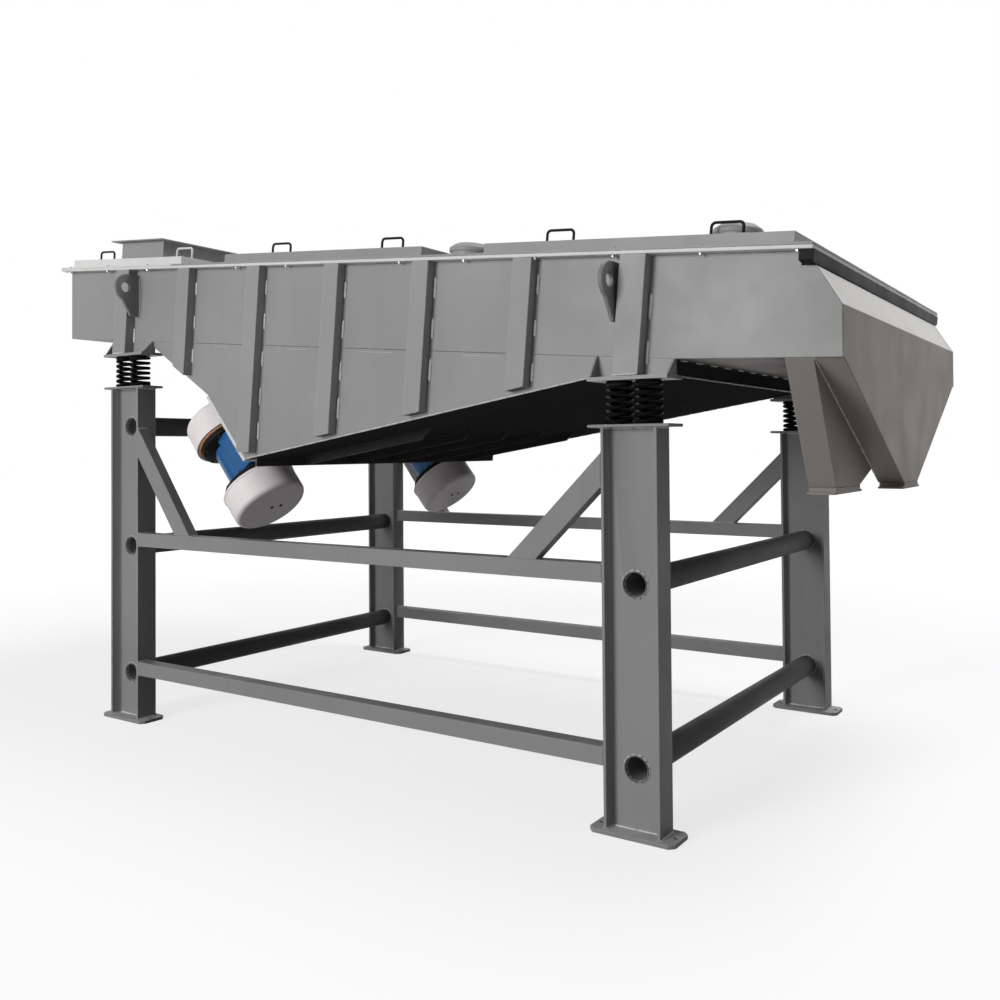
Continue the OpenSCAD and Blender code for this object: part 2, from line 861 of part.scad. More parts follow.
// Seat plate over a pair of springs, with a web up to the side plate and two end gussets
module spring_bracket(x, seat) {
    x0 = x - seat_l / 2;
    x1 = x + seat_l / 2;
    y_out = -leg_y - seat_w / 2;
    y_in = -leg_y + seat_w / 2;
    web_y = -half_w + plate_t;
    top = seat + seat_t;
    translate([x0, y_out, seat])
        cube([seat_l, seat_w, seat_t]);
    along_y(-half_w, web_y)
        polygon([[x0, top], [x1, top], [x1, z_at(x1, seam_w)], [x0, z_at(x0, seam_w)]]);
    for (gx = [x0, x1 - plate_t])
        along_x(gx, gx + plate_t)
            polygon([
                [-half_w, top],
                [y_out + plate_t, top],
                [-half_w - plate_t, z_at(gx + plate_t, seam_w)],
                [-half_w, z_at(gx + plate_t, seam_w)]]);
}

module spring_brackets() {
    color(box_grey)
    both_sides() {
        spring_bracket(-leg_x, seat_z_feed);
        spring_bracket(leg_x, seat_z_discharge);
    }
}

// Drop-shaped lifting eye, hung upright beside a spring stiffener
module lifting_lug(x) {
    eye_r = lug_reach / 2;
    top = z_at(x + lug_t, wall_top) - lug_drop;
    color(dark_grey)
    along_x(x, x + lug_t)
        difference() {
            union() {
                translate([-half_w - eye_r, top - eye_r])
                    circle(r = eye_r);
                polygon([
                    [-half_w, top],
                    [-half_w - eye_r, top],
                    [-half_w - 2 * eye_r, top - eye_r],
                    [-half_w - post_d, top - lug_h],
                    [-half_w, top - lug_h]]);
            }
            translate([-half_w - lug_hole_out, top - eye_r])
                circle(d = lug_hole);
        }
}

module lifting_lugs() {
    both_sides() {
        lifting_lug(lug_feed_x);
        lifting_lug(lug_discharge_x - lug_t);
    }
}

// Flat flange round the top of the walls, under the covers
module top_flange() {
    inner0 = -u_at(feed_x, -wall_top) + plate_t;
    inner1 = flange_end - flange_out - plate_t;
    color(box_grey)
    in_box()
        difference() {
            translate([flange_start, -flange_y, wall_top])
                cube([flange_end - flange_start, 2 * flange_y, flange_t]);
            translate([inner0, -inner_w / 2, wall_top - eps])
                cube([inner1 - inner0, inner_w, flange_t + 2 * eps]);
        }
}

// A shallow sheet lid with a flat rim that rests on the flange
module pan_cover(u0, u1, inset0, inset1) {
    difference() {
        union() {
            translate([u0, -flange_y, -cover_rim_t])
                cube([u1 - u0, 2 * flange_y, cover_rim_t]);
            translate([u0 + inset0, -pan_y, -cover_rim_t])
                cube([u1 - u0 - inset0 - inset1, 2 * pan_y, cover_rim_t + cover_h]);
        }
        translate([u0 + inset0 + cover_t, -pan_y + cover_t, -cover_rim_t - eps])
            cube([u1 - u0 - inset0 - inset1 - 2 * cover_t, 2 * (pan_y - cover_t),
                cover_rim_t + cover_h - cover_t + eps]);
    }
}

module cover_feed() {
    color(box_grey)
    in_box()
        difference() {
            pan_cover(flange_start, -cover_feed_end - cover_gap / 2, cover_feed_inset, cover_t);
            translate([-inlet_u - inlet_l / 2 + inlet_t, -inlet_w / 2 + inlet_t, 0])
                cube([inlet_l - 2 * inlet_t, inlet_w - 2 * inlet_t, 2 * cover_h]);
        }
}

module cover_main() {
    color(box_grey)
    in_box()
        pan_cover(-cover_main_start + cover_gap / 2, cover_main_end - cover_gap / 2, cover_t, cover_t);
}

module cover_discharge() {
    color(box_grey)
    in_box()
        pan_cover(cover_last_start + cover_gap / 2, flange_end, cover_t, cover_last_inset);
}

// Flat plates between the pan covers
module gap_plates() {
    color(dark_grey)
    in_box()
        for (span = [[-cover_feed_end, -cover_main_start], [cover_main_end, cover_last_start]])
            translate([span[0] + cover_gap / 2, -flange_y, -cover_rim_t])
                cube([span[1] - span[0] - cover_gap, 2 * flange_y, cover_rim_t]);
}

// Open feed collar with an outward flange
module feed_inlet() {
    rim_l = inlet_l + 2 * inlet_flange;
    rim_w = inlet_w + 2 * inlet_flange;
    color(box_grey)
    in_box()
        translate([-inlet_u, 0, cover_h])
            difference() {
                union() {
                    translate([-inlet_l / 2, -inlet_w / 2, 0])
                        cube([inlet_l, inlet_w, inlet_h]);
                    translate([-rim_l / 2, -rim_w / 2, inlet_h - inlet_t])
                        cube([rim_l, rim_w, inlet_t]);
                }
                translate([-inlet_l / 2 + inlet_t, -inlet_w / 2 + inlet_t, -eps])
                    cube([inlet_l - 2 * inlet_t, inlet_w - 2 * inlet_t, inlet_h + 2 * eps]);
            }
}

// Bent rod handle standing on z = 0, along X
module handle() {
    bend = 1.5 * handle_rod;
    half = (handle_l - handle_rod) / 2;
    rise = handle_h - handle_rod / 2;
    for (side = [-1, 1]) {
        translate([side * half, 0, 0])
            cylinder(d = handle_rod, h = rise - bend);
        translate([side * (half - bend), 0, rise - bend])
            rotate([90, 0, 0])
                rotate([0, 0, side > 0 ? 0 : 90])
                    rotate_extrude(angle = 90)
                        translate([bend, 0])
                            circle(d = handle_rod);
    }
    translate([-half + bend, 0, rise])
        rotate([0, 90, 0])
            cylinder(d = handle_rod, h = 2 * (half - bend));
}

module handles() {
    color(steel_black)
    in_box()
        both_sides()
            for (u = handle_places)
                translate([u, -handle_y, cover_h])
                    handle();
}

// Round inspection caps with a domed top
module inspection_caps() {
    cap_r = port_d / 2;
    neck_r = cap_r - port_lip;
    lip_z = port_h / 2;
    dome_z = port_h * 3 / 4;
    crown_r = cap_r * 2 / 3;
    color(box_grey)
    in_box()
        for (place = port_places)
            translate(place)
                rotate_extrude()
                    polygon([
                        [0, 0],
                        [neck_r, 0],
                        [neck_r, lip_z],
                        [cap_r, lip_z],
                        [cap_r, dome_z],
                        [crown_r, port_h],
                        [0, port_h]]);
}

// Open frame that carries the screen cloth inside the box
module screen_deck() {
    u0 = -hopper_start;
    u1 = u_at(chute_x1, -deck_depth);
    base = -deck_depth - deck_t;
    cell_u = (u1 - u0 - deck_bar) / deck_columns;
    cell_y = (inner_w - deck_bar) / deck_rows;
    color(dark_grey)
    in_box()
        difference() {
            translate([u0, -inner_w / 2, base])
                cube([u1 - u0, inner_w, deck_t]);
            for (i = [0:deck_columns - 1], j = [0:deck_rows - 1])
                translate([u0 + deck_bar + i * cell_u, -inner_w / 2 + deck_bar + j * cell_y, base - eps])
                    cube([cell_u - deck_bar, cell_y - deck_bar, deck_t + 2 * eps]);
        }
}

// Places children on a motor's axis: X down the slope, Z square to the motor plate, at the motor's middle
module on_motor(y) {
    in_box()
        translate([-hopper_low, y, -hopper_depth])
            rotate([0, motor_ang, 0])
                translate([-motor_up, 0, -motor_off])
                    children();
}

module motor_housing(y) {
    foot_h = motor_off - motor_plate_t;
    foot_half = barrel_half - motor_shield_t - motor_seal_t;
    bore_d = motor_d - 2 * motor_wall;
    color(motor_blue)
    on_motor(y) {
        translate([-barrel_half, 0, 0])
            rotate([0, 90, 0])
                cylinder(d = motor_d, h = 2 * barrel_half);
        for (side = [-1, 1])
            translate([side * (barrel_half - motor_shield_t / 2 - motor_seal_t) - motor_shield_t / 2, 0, 0])
                rotate([0, 90, 0])
                    cylinder(d = motor_shield_d, h = motor_shield_t);
        difference() {
            for (side = [-1, 1])
                translate([-foot_half, side * motor_foot_pitch / 2 - motor_foot_w / 2, 0])
                    cube([2 * foot_half, motor_foot_w, foot_h]);
            translate([-barrel_half, 0, 0])
                rotate([0, 90, 0])
                    cylinder(d = bore_d, h = 2 * barrel_half);
        }
    }
}

// Weight cover with a rounded outer edge, drawn from its open end at z = 0
module weight_cover() {
    r = motor_cover_d / 2;
    centre = [r - motor_cover_r, motor_cover_l - motor_cover_r];
    arc = [for (a = [0:10:90]) centre + motor_cover_r * [cos(a), sin(a)]];
    rotate_extrude()
        polygon(concat([[0, 0], [r, 0]], arc, [[0, motor_cover_l]]));
}

module motor_covers(y) {
    color(cover_white)
    on_motor(y)
        for (side = [-1, 1])
            translate([side * barrel_half, 0, 0])
                rotate([0, side * 90, 0])
                    weight_cover();
}

module motor_seals(y) {
    color(seal_orange)
    on_motor(y)
        for (side = [-1, 1])
            translate([side * (barrel_half - motor_seal_t / 2) - motor_seal_t / 2, 0, 0])
                rotate([0, 90, 0])
                    difference() {
                        cylinder(d = motor_shield_d + 2 * motor_seal_lip, h = motor_seal_t);
                        translate([0, 0, -eps])
                            cylinder(d = motor_d + 2 * motor_seal_gap, h = motor_seal_t + 2 * eps);
                    }
}

module motor_near_housing() { motor_housing(-motor_y); }

module motor_near_covers() { motor_covers(-motor_y); }

module motor_near_seals() { motor_seals(-motor_y); }

module motor_far_housing() { motor_housing(motor_y); }

module motor_far_covers() { motor_covers(motor_y); }

module motor_far_seals() { motor_seals(motor_y); }

leg_feed_near();
leg_feed_far();
leg_discharge_near();
leg_discharge_far();
base_plates();
cap_plates();
cross_tubes_feed();
cross_tubes_discharge();
side_rails_lower();
side_rails_upper();
corner_braces();
springs_feed_near();
springs_feed_far();
springs_discharge_near();
springs_discharge_far();
side_plate_near();
side_plate_far();
hopper_side_near();
hopper_side_far();
feed_end_wall();
feed_floor();
hopper_back();
motor_plate();
hopper_bottom();
hopper_keels();
cross_plate();
discharge_floor();
end_hood();
front_chute();
rear_chute();
outlet_flanges();
side_ribs_near();
side_ribs_far();
spring_posts();
spring_brackets();
lifting_lugs();
top_flange();
cover_feed();
cover_main();
cover_discharge();
gap_plates();
feed_inlet();
handles();
inspection_caps();
screen_deck();
motor_near_housing();
motor_near_covers();
motor_near_seals();
motor_far_housing();
motor_far_covers();
motor_far_seals();
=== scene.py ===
import json
import math
import random
import bpy
import bmesh
from mathutils import Matrix, Vector


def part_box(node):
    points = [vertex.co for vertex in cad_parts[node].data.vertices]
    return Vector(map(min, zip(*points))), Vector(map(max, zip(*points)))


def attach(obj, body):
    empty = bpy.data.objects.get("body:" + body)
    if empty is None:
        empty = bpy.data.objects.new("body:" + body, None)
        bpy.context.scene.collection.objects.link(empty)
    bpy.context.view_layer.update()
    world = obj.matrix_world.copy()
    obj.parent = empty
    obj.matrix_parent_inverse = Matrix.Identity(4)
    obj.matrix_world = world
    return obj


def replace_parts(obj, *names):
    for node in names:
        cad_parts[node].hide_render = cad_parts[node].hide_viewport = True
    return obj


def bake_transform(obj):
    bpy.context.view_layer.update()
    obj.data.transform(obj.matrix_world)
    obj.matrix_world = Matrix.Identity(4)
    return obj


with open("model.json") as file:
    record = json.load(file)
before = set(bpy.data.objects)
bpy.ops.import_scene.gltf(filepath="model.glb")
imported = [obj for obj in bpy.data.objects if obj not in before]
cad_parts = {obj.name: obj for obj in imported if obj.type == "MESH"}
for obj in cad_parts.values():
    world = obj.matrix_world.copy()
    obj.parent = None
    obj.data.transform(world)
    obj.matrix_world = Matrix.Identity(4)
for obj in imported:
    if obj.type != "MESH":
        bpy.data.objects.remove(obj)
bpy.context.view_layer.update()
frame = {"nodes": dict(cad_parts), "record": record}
print("frame:", len(frame["nodes"]), "nodes")

record = frame["record"]
mounts = {mount["name"]: mount for mount in record["mounts"]}
bodyOf = {node: body for body, nodes in record["behaviour"]["bodies"].items() for node in nodes}
diceRoll = random.Random(7)

# the box slopes, so its own frame comes from the feed flange
screenBox = {"inletRise": 0.142, "plateAngle": 45}
inletNormal = Vector(mounts["feed_inlet_flange"]["axis"]).normalized()
boxSlope = math.atan2(inletNormal.x, inletNormal.z)
inletReach = Vector(mounts["feed_inlet_flange"]["pos_m"]).dot(inletNormal)
jointHeight = (inletReach - screenBox["inletRise"]) / inletNormal.z
boxFrame = Matrix.Translation((0, 0, jointHeight)) @ Matrix.Rotation(boxSlope, 4, "Y")
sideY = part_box("side_plate_far")[1].y
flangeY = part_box("top_flange")[1].y


def inBox(u, y, w):
    # a point of the box frame: along the slope, across, and square to the slope
    return boxFrame @ Vector((u, y, w))


# camera, solved from the frame's straight edges in the photograph

viewPoint = {"place": (2.723, -3.8102, 1.2398), "yaw": 33.8587, "pitch": 1.0406, "roll": -0.4,
             "focalPixels": 989.84, "imagePixels": 1000, "axisRow": 431.2, "sensor": 36}


def placeCamera(view):
    yaw, pitch, roll = (math.radians(view[key]) for key in ("yaw", "pitch", "roll"))
    ahead = Vector((-math.sin(yaw) * math.cos(pitch), math.cos(yaw) * math.cos(pitch), math.sin(pitch)))
    right = Vector((math.cos(yaw), math.sin(yaw), 0))
    up = right.cross(ahead)
    rolledRight = right * math.cos(roll) + up * math.sin(roll)
    rolledUp = up * math.cos(roll) - right * math.sin(roll)
    turn = Matrix((rolledRight, rolledUp, -ahead)).transposed().to_4x4()
    data = bpy.data.cameras.new("photoCamera")
    data.sensor_width = view["sensor"]
    data.lens = view["focalPixels"] / view["imagePixels"] * view["sensor"]
    data.shift_y = view["axisRow"] / view["imagePixels"] - 0.5  # the photo is framed low
    camera = bpy.data.objects.new("photoCamera", data)
    camera.matrix_world = Matrix.Translation(view["place"]) @ turn
    bpy.context.scene.collection.objects.link(camera)
    bpy.context.scene.camera = camera


placeCamera(viewPoint)
print("camera placed")


# materials

def startFinish(name):
    finish = bpy.data.materials.new(name)
    finish.use_nodes = True
    return finish, finish.node_tree, finish.node_tree.nodes["Principled BSDF"]


def noiseOn(tree, scale, detail=3.0, stretch=(1, 1, 1), rough=0.55):
    coords = tree.nodes.new("ShaderNodeTexCoord")
    mapping = tree.nodes.new("ShaderNodeMapping")
    noise = tree.nodes.new("ShaderNodeTexNoise")
    mapping.inputs["Scale"].default_value = stretch
    noise.inputs["Scale"].default_value = scale
    noise.inputs["Detail"].default_value = detail
    noise.inputs["Roughness"].default_value = rough
    tree.links.new(coords.outputs["Object"], mapping.inputs["Vector"])
    tree.links.new(mapping.outputs["Vector"], noise.inputs["Vector"])
    return noise.outputs["Fac"]


def remap(tree, value, low, high, toLow=0.0, toHigh=1.0):
    node = tree.nodes.new("ShaderNodeMapRange")
    node.inputs["From Min"].default_value = low
    node.inputs["From Max"].default_value = high
    node.inputs["To Min"].default_value = toLow
    node.inputs["To Max"].default_value = toHigh
    tree.links.new(value, node.inputs["Value"])
    return node.outputs["Result"]


def multiply(tree, first, second):
    node = tree.nodes.new("ShaderNodeMath")
    node.operation = "MULTIPLY"
    tree.links.new(first, node.inputs[0])
    if isinstance(second, float):
        node.inputs[1].default_value = second
    else:
        tree.links.new(second, node.inputs[1])
    return node.outputs["Value"]


def mixColour(tree, share, first, second):
    node = tree.nodes.new("ShaderNodeMix")
    node.data_type = "RGBA"
    tree.links.new(share, node.inputs["Factor"])
    for socket, colour in ((node.inputs[6], first), (node.inputs[7], second)):
        if isinstance(colour, tuple):
            socket.default_value = (*colour, 1)
        else:
            tree.links.new(colour, socket)
    return node.outputs[2]


def upwardShare(tree, low, high):
    geometry = tree.nodes.new("ShaderNodeNewGeometry")
    split = tree.nodes.new("ShaderNodeSeparateXYZ")
    tree.links.new(geometry.outputs["Normal"], split.inputs["Vector"])
    return remap(tree, split.outputs["Z"], low, high)


def edgeWearAndHighlight(tree, reach):
    geometry = tree.nodes.new("ShaderNodeNewGeometry")
    rounded = tree.nodes.new("ShaderNodeBevel")
    rounded.samples = 4
    rounded.inputs["Radius"].default_value = reach
    dot = tree.nodes.new("ShaderNodeVectorMath")
    dot.operation = "DOT_PRODUCT"
    tree.links.new(geometry.outputs["Normal"], dot.inputs[0])
    tree.links.new(rounded.outputs["Normal"], dot.inputs[1])
    return remap(tree, dot.outputs["Value"], 0.97, 0.8)


def addBump(tree, shader, layers):
    previous = None
    for height, strength, distance in layers:
        bump = tree.nodes.new("ShaderNodeBump")
        bump.inputs["Strength"].default_value = strength
        bump.inputs["Distance"].default_value = distance
        tree.links.new(height, bump.inputs["Height"])
        if previous:
            tree.links.new(previous, bump.inputs["Normal"])
        previous = bump.outputs["Normal"]
    tree.links.new(previous, shader.inputs["Normal"])


def paintedSteel(name, look):
    finish, tree, shader = startFinish(name)
    patches = remap(tree, noiseOn(tree, look["patchScale"], 5), 0.35, 0.68)
    colour = mixColour(tree, patches, look["colour"], look["patch"])
    streaks = remap(tree, noiseOn(tree, 1.0, 4, (16, 16, 0.7)), 0.52, 0.8, 0, look["streaks"])
    colour = mixColour(tree, streaks, colour, look["grime"])
    # dust on upward faces; where a look makes it strong and near white, it is painted top light
    dustAndTopLightCloud = remap(tree, noiseOn(tree, 7, 6), 0.3, 0.7, look["dustAndTopLightThin"], 1)
    dustAndTopLight = multiply(tree, upwardShare(tree, *look["dustAndTopLightSlope"]), dustAndTopLightCloud)
    colour = mixColour(tree, multiply(tree, dustAndTopLight, look["dustAndTopLightShare"]), colour, look["dustAndTopLight"])
    scuffs = remap(tree, noiseOn(tree, 3.1, 8, (1, 1, 3.4), 0.7), 0.68, 0.74, 0, look["scuffs"])
    colour = mixColour(tree, scuffs, colour, look["edge"])
    # edges lighter in the edge colour: partly wear, partly a painted edge highlight
    wornAndHighlit = multiply(tree, edgeWearAndHighlight(tree, look["edgeReach"]), remap(tree, noiseOn(tree, 9, 5), 0.35, 0.6))
    colour = mixColour(tree, multiply(tree, wornAndHighlit, look["edgeWearAndHighlight"]), colour, look["edge"])
    tree.links.new(colour, shader.inputs["Base Color"])
    gloss = remap(tree, noiseOn(tree, 5, 5), 0.3, 0.7, look["rough"] - 0.07, look["rough"] + 0.08)
    tree.links.new(gloss, shader.inputs["Roughness"])
    shader.inputs["Specular IOR Level"].default_value = look["specular"]
    addBump(tree, shader, [(noiseOn(tree, 2.2, 1), 0.5, look["wave"]), (noiseOn(tree, 420, 2), 0.12, 0.0006)])
    return finish


boxLook = {"colour": (0.272, 0.272, 0.270), "patch": (0.318, 0.318, 0.315), "patchScale": 1.1, "streaks": 0.12,
           "grime": (0.17, 0.168, 0.164), "dustAndTopLight": (0.44, 0.435, 0.425), "dustAndTopLightShare": 0.4, "dustAndTopLightThin": 0.35,
           "dustAndTopLightSlope": (0.55, 0.95), "scuffs": 0.16, "edge": (0.62, 0.62, 0.61), "edgeReach": 0.005,
           "edgeWearAndHighlight": 0.75, "rough": 0.45, "specular": 0.3, "wave": 0.006}
frameLook = {**boxLook, "colour": (0.25, 0.249, 0.248), "patch": (0.285, 0.284, 0.283),
             "grime": (0.13, 0.128, 0.125), "dustAndTopLight": (0.38, 0.375, 0.365), "wave": 0.002, "rough": 0.5,
             "specular": 0.1}
# base plates: a pale upward colour, dust on their tops and partly painted top light
footLook = {**frameLook, "dustAndTopLight": (0.66, 0.655, 0.645), "dustAndTopLightShare": 1.0, "dustAndTopLightThin": 0.6}
# near black: painted shade under the box, on the hopper bottom, keels and cross plate
shadedUndersideLook = {**boxLook, "colour": (0.065, 0.065, 0.064), "patch": (0.08, 0.08, 0.078),
                 "grime": (0.05, 0.05, 0.05), "edge": (0.30, 0.30, 0.29), "edgeReach": 0.006, "edgeWearAndHighlight": 0.8,
                 "scuffs": 0.05, "rough": 0.75, "specular": 0.0}
# the chutes' own brownish tone, darkened as painted shade
chuteLook = {**boxLook, "colour": (0.225, 0.205, 0.188), "patch": (0.26, 0.237, 0.218),
             "grime": (0.19, 0.165, 0.15), "specular": 0.1}
# the end sheets: their upward colour is near white, painted top light on the hood slope
endLook = {**chuteLook, "colour": (0.325, 0.28, 0.248), "patch": (0.36, 0.313, 0.28), "dustAndTopLight": (0.88, 0.87, 0.85),
           "dustAndTopLightShare": 1.0, "dustAndTopLightThin": 0.9, "dustAndTopLightSlope": (0.2, 0.45), "edgeWearAndHighlight": 0.0, "specular": 0.12}
# ribs: a stronger, wider edge colour, partly a painted edge highlight
ribLook = {**boxLook, "colour": (0.292, 0.292, 0.29), "patch": (0.33, 0.33, 0.328), "edge": (0.74, 0.74, 0.73),
           "edgeReach": 0.007, "edgeWearAndHighlight": 1.0, "wave": 0.002}
seamLook = {**boxLook, "colour": (0.13, 0.129, 0.127), "patch": (0.17, 0.169, 0.166), "edgeWearAndHighlight": 0.0}
# pale paint: brightened as a painted highlight on the flange rim and motor plate
paleLook = {**boxLook, "colour": (0.66, 0.66, 0.655), "patch": (0.74, 0.74, 0.732), "grime": (0.36, 0.355, 0.35),
            "edge": (0.80, 0.80, 0.79), "wave": 0.002}
# the cross tubes darkened as painted shade under the box
shadedTubeLook = {**frameLook, "colour": (0.125, 0.124, 0.122), "patch": (0.15, 0.149, 0.147), "edgeWearAndHighlight": 1.0,
            "specular": 0.05}
# the discharge floor's underside: dark as painted shade, brownish as a painted sheen
floorLook = {**chuteLook, "colour": (0.085, 0.074, 0.066), "patch": (0.105, 0.092, 0.083), "edgeWearAndHighlight": 0.3}
# lugs: bright rims from a full edge colour, a painted highlight
lugLook = {**boxLook, "colour": (0.20, 0.20, 0.199), "patch": (0.24, 0.24, 0.238), "edge": (0.76, 0.76, 0.75),
           "edgeWearAndHighlight": 1.0, "grime": (0.06, 0.06, 0.06)}
motorLook = {**boxLook, "colour": (0.015, 0.10, 0.275), "patch": (0.021, 0.125, 0.325),
             "grime": (0.01, 0.04, 0.11), "dustAndTopLight": (0.16, 0.28, 0.44), "dustAndTopLightShare": 0.3, "edge": (0.22, 0.42, 0.66),
             "rough": 0.3, "wave": 0.001, "specular": 0.22, "patchScale": 9}
coverLook = {**boxLook, "colour": (0.90, 0.835, 0.845), "patch": (0.92, 0.86, 0.87), "grime": (0.40, 0.36, 0.35),
             "dustAndTopLight": (0.84, 0.80, 0.79), "edge": (0.88, 0.84, 0.83), "rough": 0.5, "wave": 0.001, "patchScale": 5}
shieldLook = {**shadedUndersideLook, "colour": (0.012, 0.012, 0.013), "patch": (0.02, 0.02, 0.021),
              "grime": (0.008, 0.008, 0.008), "edge": (0.13, 0.13, 0.13), "edgeWearAndHighlight": 0.4, "rough": 0.36,
              "specular": 0.03, "wave": 0.001}
springLook = {**shieldLook, "colour": (0.003, 0.003, 0.003), "patch": (0.006, 0.006, 0.006), "rough": 0.34,
              "specular": 0.02, "patchScale": 20, "dustAndTopLight": (0.05, 0.05, 0.05), "dustAndTopLightShare": 0.2}
rodLook = {**shieldLook, "colour": (0.02, 0.02, 0.02), "rough": 0.34}
# pale beads: welds, and bright lines that stand in for highlights on edges; the pale colour is partly painted
# highlight
weldAndHighlightLook = {**boxLook, "colour": (0.50, 0.498, 0.495), "patch": (0.70, 0.697, 0.69), "patchScale": 14,
            "scuffs": 0.4, "edgeWearAndHighlight": 0.0, "rough": 0.38}

boxPaint = paintedSteel("boxPaint", boxLook)
framePaint = paintedSteel("framePaint", frameLook)
footPaint = paintedSteel("footPaint", footLook)
shadedUndersidePaint = paintedSteel("shadedUndersidePaint", shadedUndersideLook)
endPaint = paintedSteel("endPaint", endLook)
palePaint = paintedSteel("palePaint", paleLook)
ribPaint = paintedSteel("ribPaint", ribLook)
seamPaint = paintedSteel("seamPaint", seamLook)
chutePaint = paintedSteel("chutePaint", chuteLook)
floorPaint = paintedSteel("floorPaint", floorLook)
lugPaint = paintedSteel("lugPaint", lugLook)
shadedTubePaint = paintedSteel("shadedTubePaint", shadedTubeLook)
motorPaint = paintedSteel("motorPaint", motorLook)
coverPaint = paintedSteel("coverPaint", coverLook)
shieldPaint = paintedSteel("shieldPaint", shieldLook)
springLacquer = paintedSteel("springLacquer", springLook)
rodPaint = paintedSteel("rodPaint", rodLook)


def sealRubber():
    finish, tree, shader = startFinish("sealRubber")
    colour = mixColour(tree, noiseOn(tree, 30, 5), (0.62, 0.25, 0.075), (0.82, 0.42, 0.17))
    tree.links.new(colour, shader.inputs["Base Color"])
    tree.links.new(remap(tree, noiseOn(tree, 60, 3), 0.3, 0.7, 0.5, 0.68), shader.inputs["Roughness"])
    addBump(tree, shader, [(noiseOn(tree, 260, 3), 0.3, 0.0006)])
    return finish


def bareSteel(name, dark, light, rough, grain):
    finish, tree, shader = startFinish(name)
    colour = mixColour(tree, remap(tree, noiseOn(tree, grain, 6), 0.35, 0.7), dark, light)
    tree.links.new(colour, shader.inputs["Base Color"])
    shader.inputs["Metallic"].default_value = 1.0
    tree.links.new(remap(tree, noiseOn(tree, 3 * grain, 4), 0.3, 0.7, rough - 0.08, rough + 0.1),
                   shader.inputs["Roughness"])
    addBump(tree, shader, [(noiseOn(tree, 6 * grain, 4), 0.25, 0.0005)])
    return finish


motorSeal = sealRubber()
zincSteel = bareSteel("zincSteel", (0.52, 0.52, 0.51), (0.74, 0.74, 0.72), 0.34, 40)
deckSteel = bareSteel("deckSteel", (0.20, 0.195, 0.19), (0.40, 0.395, 0.385), 0.45, 18)
weldAndHighlightPaint = paintedSteel("weldAndHighlightPaint", weldAndHighlightLook)
print("finishes made")


# meshes

def nodeShape(name):
    bm = bmesh.new()
    bm.from_mesh(frame["nodes"][name].data)
    bmesh.ops.remove_doubles(bm, verts=bm.verts, dist=1e-5)
    return bm


def meshOf(name, bm):
    mesh = bpy.data.meshes.new(name)
    bm.to_mesh(mesh)
    bm.free()
    return mesh


def addPiece(name, bm, finish, body, smoothAngle=None):
    mesh = meshOf(name, bm)
    mesh.materials.append(finish)
    if smoothAngle:
        mesh.shade_smooth()
        mesh.set_sharp_from_angle(angle=math.radians(smoothAngle))
    piece = bpy.data.objects.new(name, mesh)
    bpy.context.scene.collection.objects.link(piece)
    if body:
        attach(piece, body)
    return piece


def islands(name, local):
    # corner points of each separate solid of a node, seen in the frame "local"
    bm = nodeShape(name)
    back = local.inverted()
    left = set(bm.verts)
    found = []
    while left:
        stack = [left.pop()]
        points = []
        while stack:
            vert = stack.pop()
            points.append(back @ vert.co)
            for edge in vert.link_edges:
                other = edge.other_vert(vert)
                if other in left:
                    left.discard(other)
                    stack.append(other)
        found.append(sorted(points, key=tuple))
    bm.free()
    # in a fixed order, so that each run makes the same beads
    return sorted(found, key=lambda points: tuple(spanOf(points)[0]))


def spanOf(points):
    low = Vector([min(point[axis] for point in points) for axis in range(3)])
    high = Vector([max(point[axis] for point in points) for axis in range(3)])
    return low, high


def lathe(bm, profile, steps, turn=Matrix()):
    # a profile of (along, radius) points, spun about X
    verts = [bm.verts.new((along, 0, radius)) for along, radius in profile]
    edges = [bm.edges.new(pair) for pair in zip(verts, verts[1:])]
    spun = bmesh.ops.spin(bm, geom=verts + edges, cent=(0, 0, 0), axis=(1, 0, 0), angle=2 * math.pi,
                          steps=steps, use_merge=True)
    made = {element for element in spun["geom_last"] if isinstance(element, bmesh.types.BMVert)} | set(verts)
    stack = list(made)
    while stack:
        for edge in stack.pop().link_edges:
            for vert in edge.verts:
                if vert not in made:
                    made.add(vert)
                    stack.append(vert)
    bmesh.ops.remove_doubles(bm, verts=list(made), dist=1e-6)
    made = [vert for vert in made if vert.is_valid]
    bmesh.ops.recalc_face_normals(bm, faces=list({face for vert in made for face in vert.link_faces}))
    bmesh.ops.transform(bm, matrix=turn, verts=made)


# CAD pieces with the small rounding that rolled and cut steel has

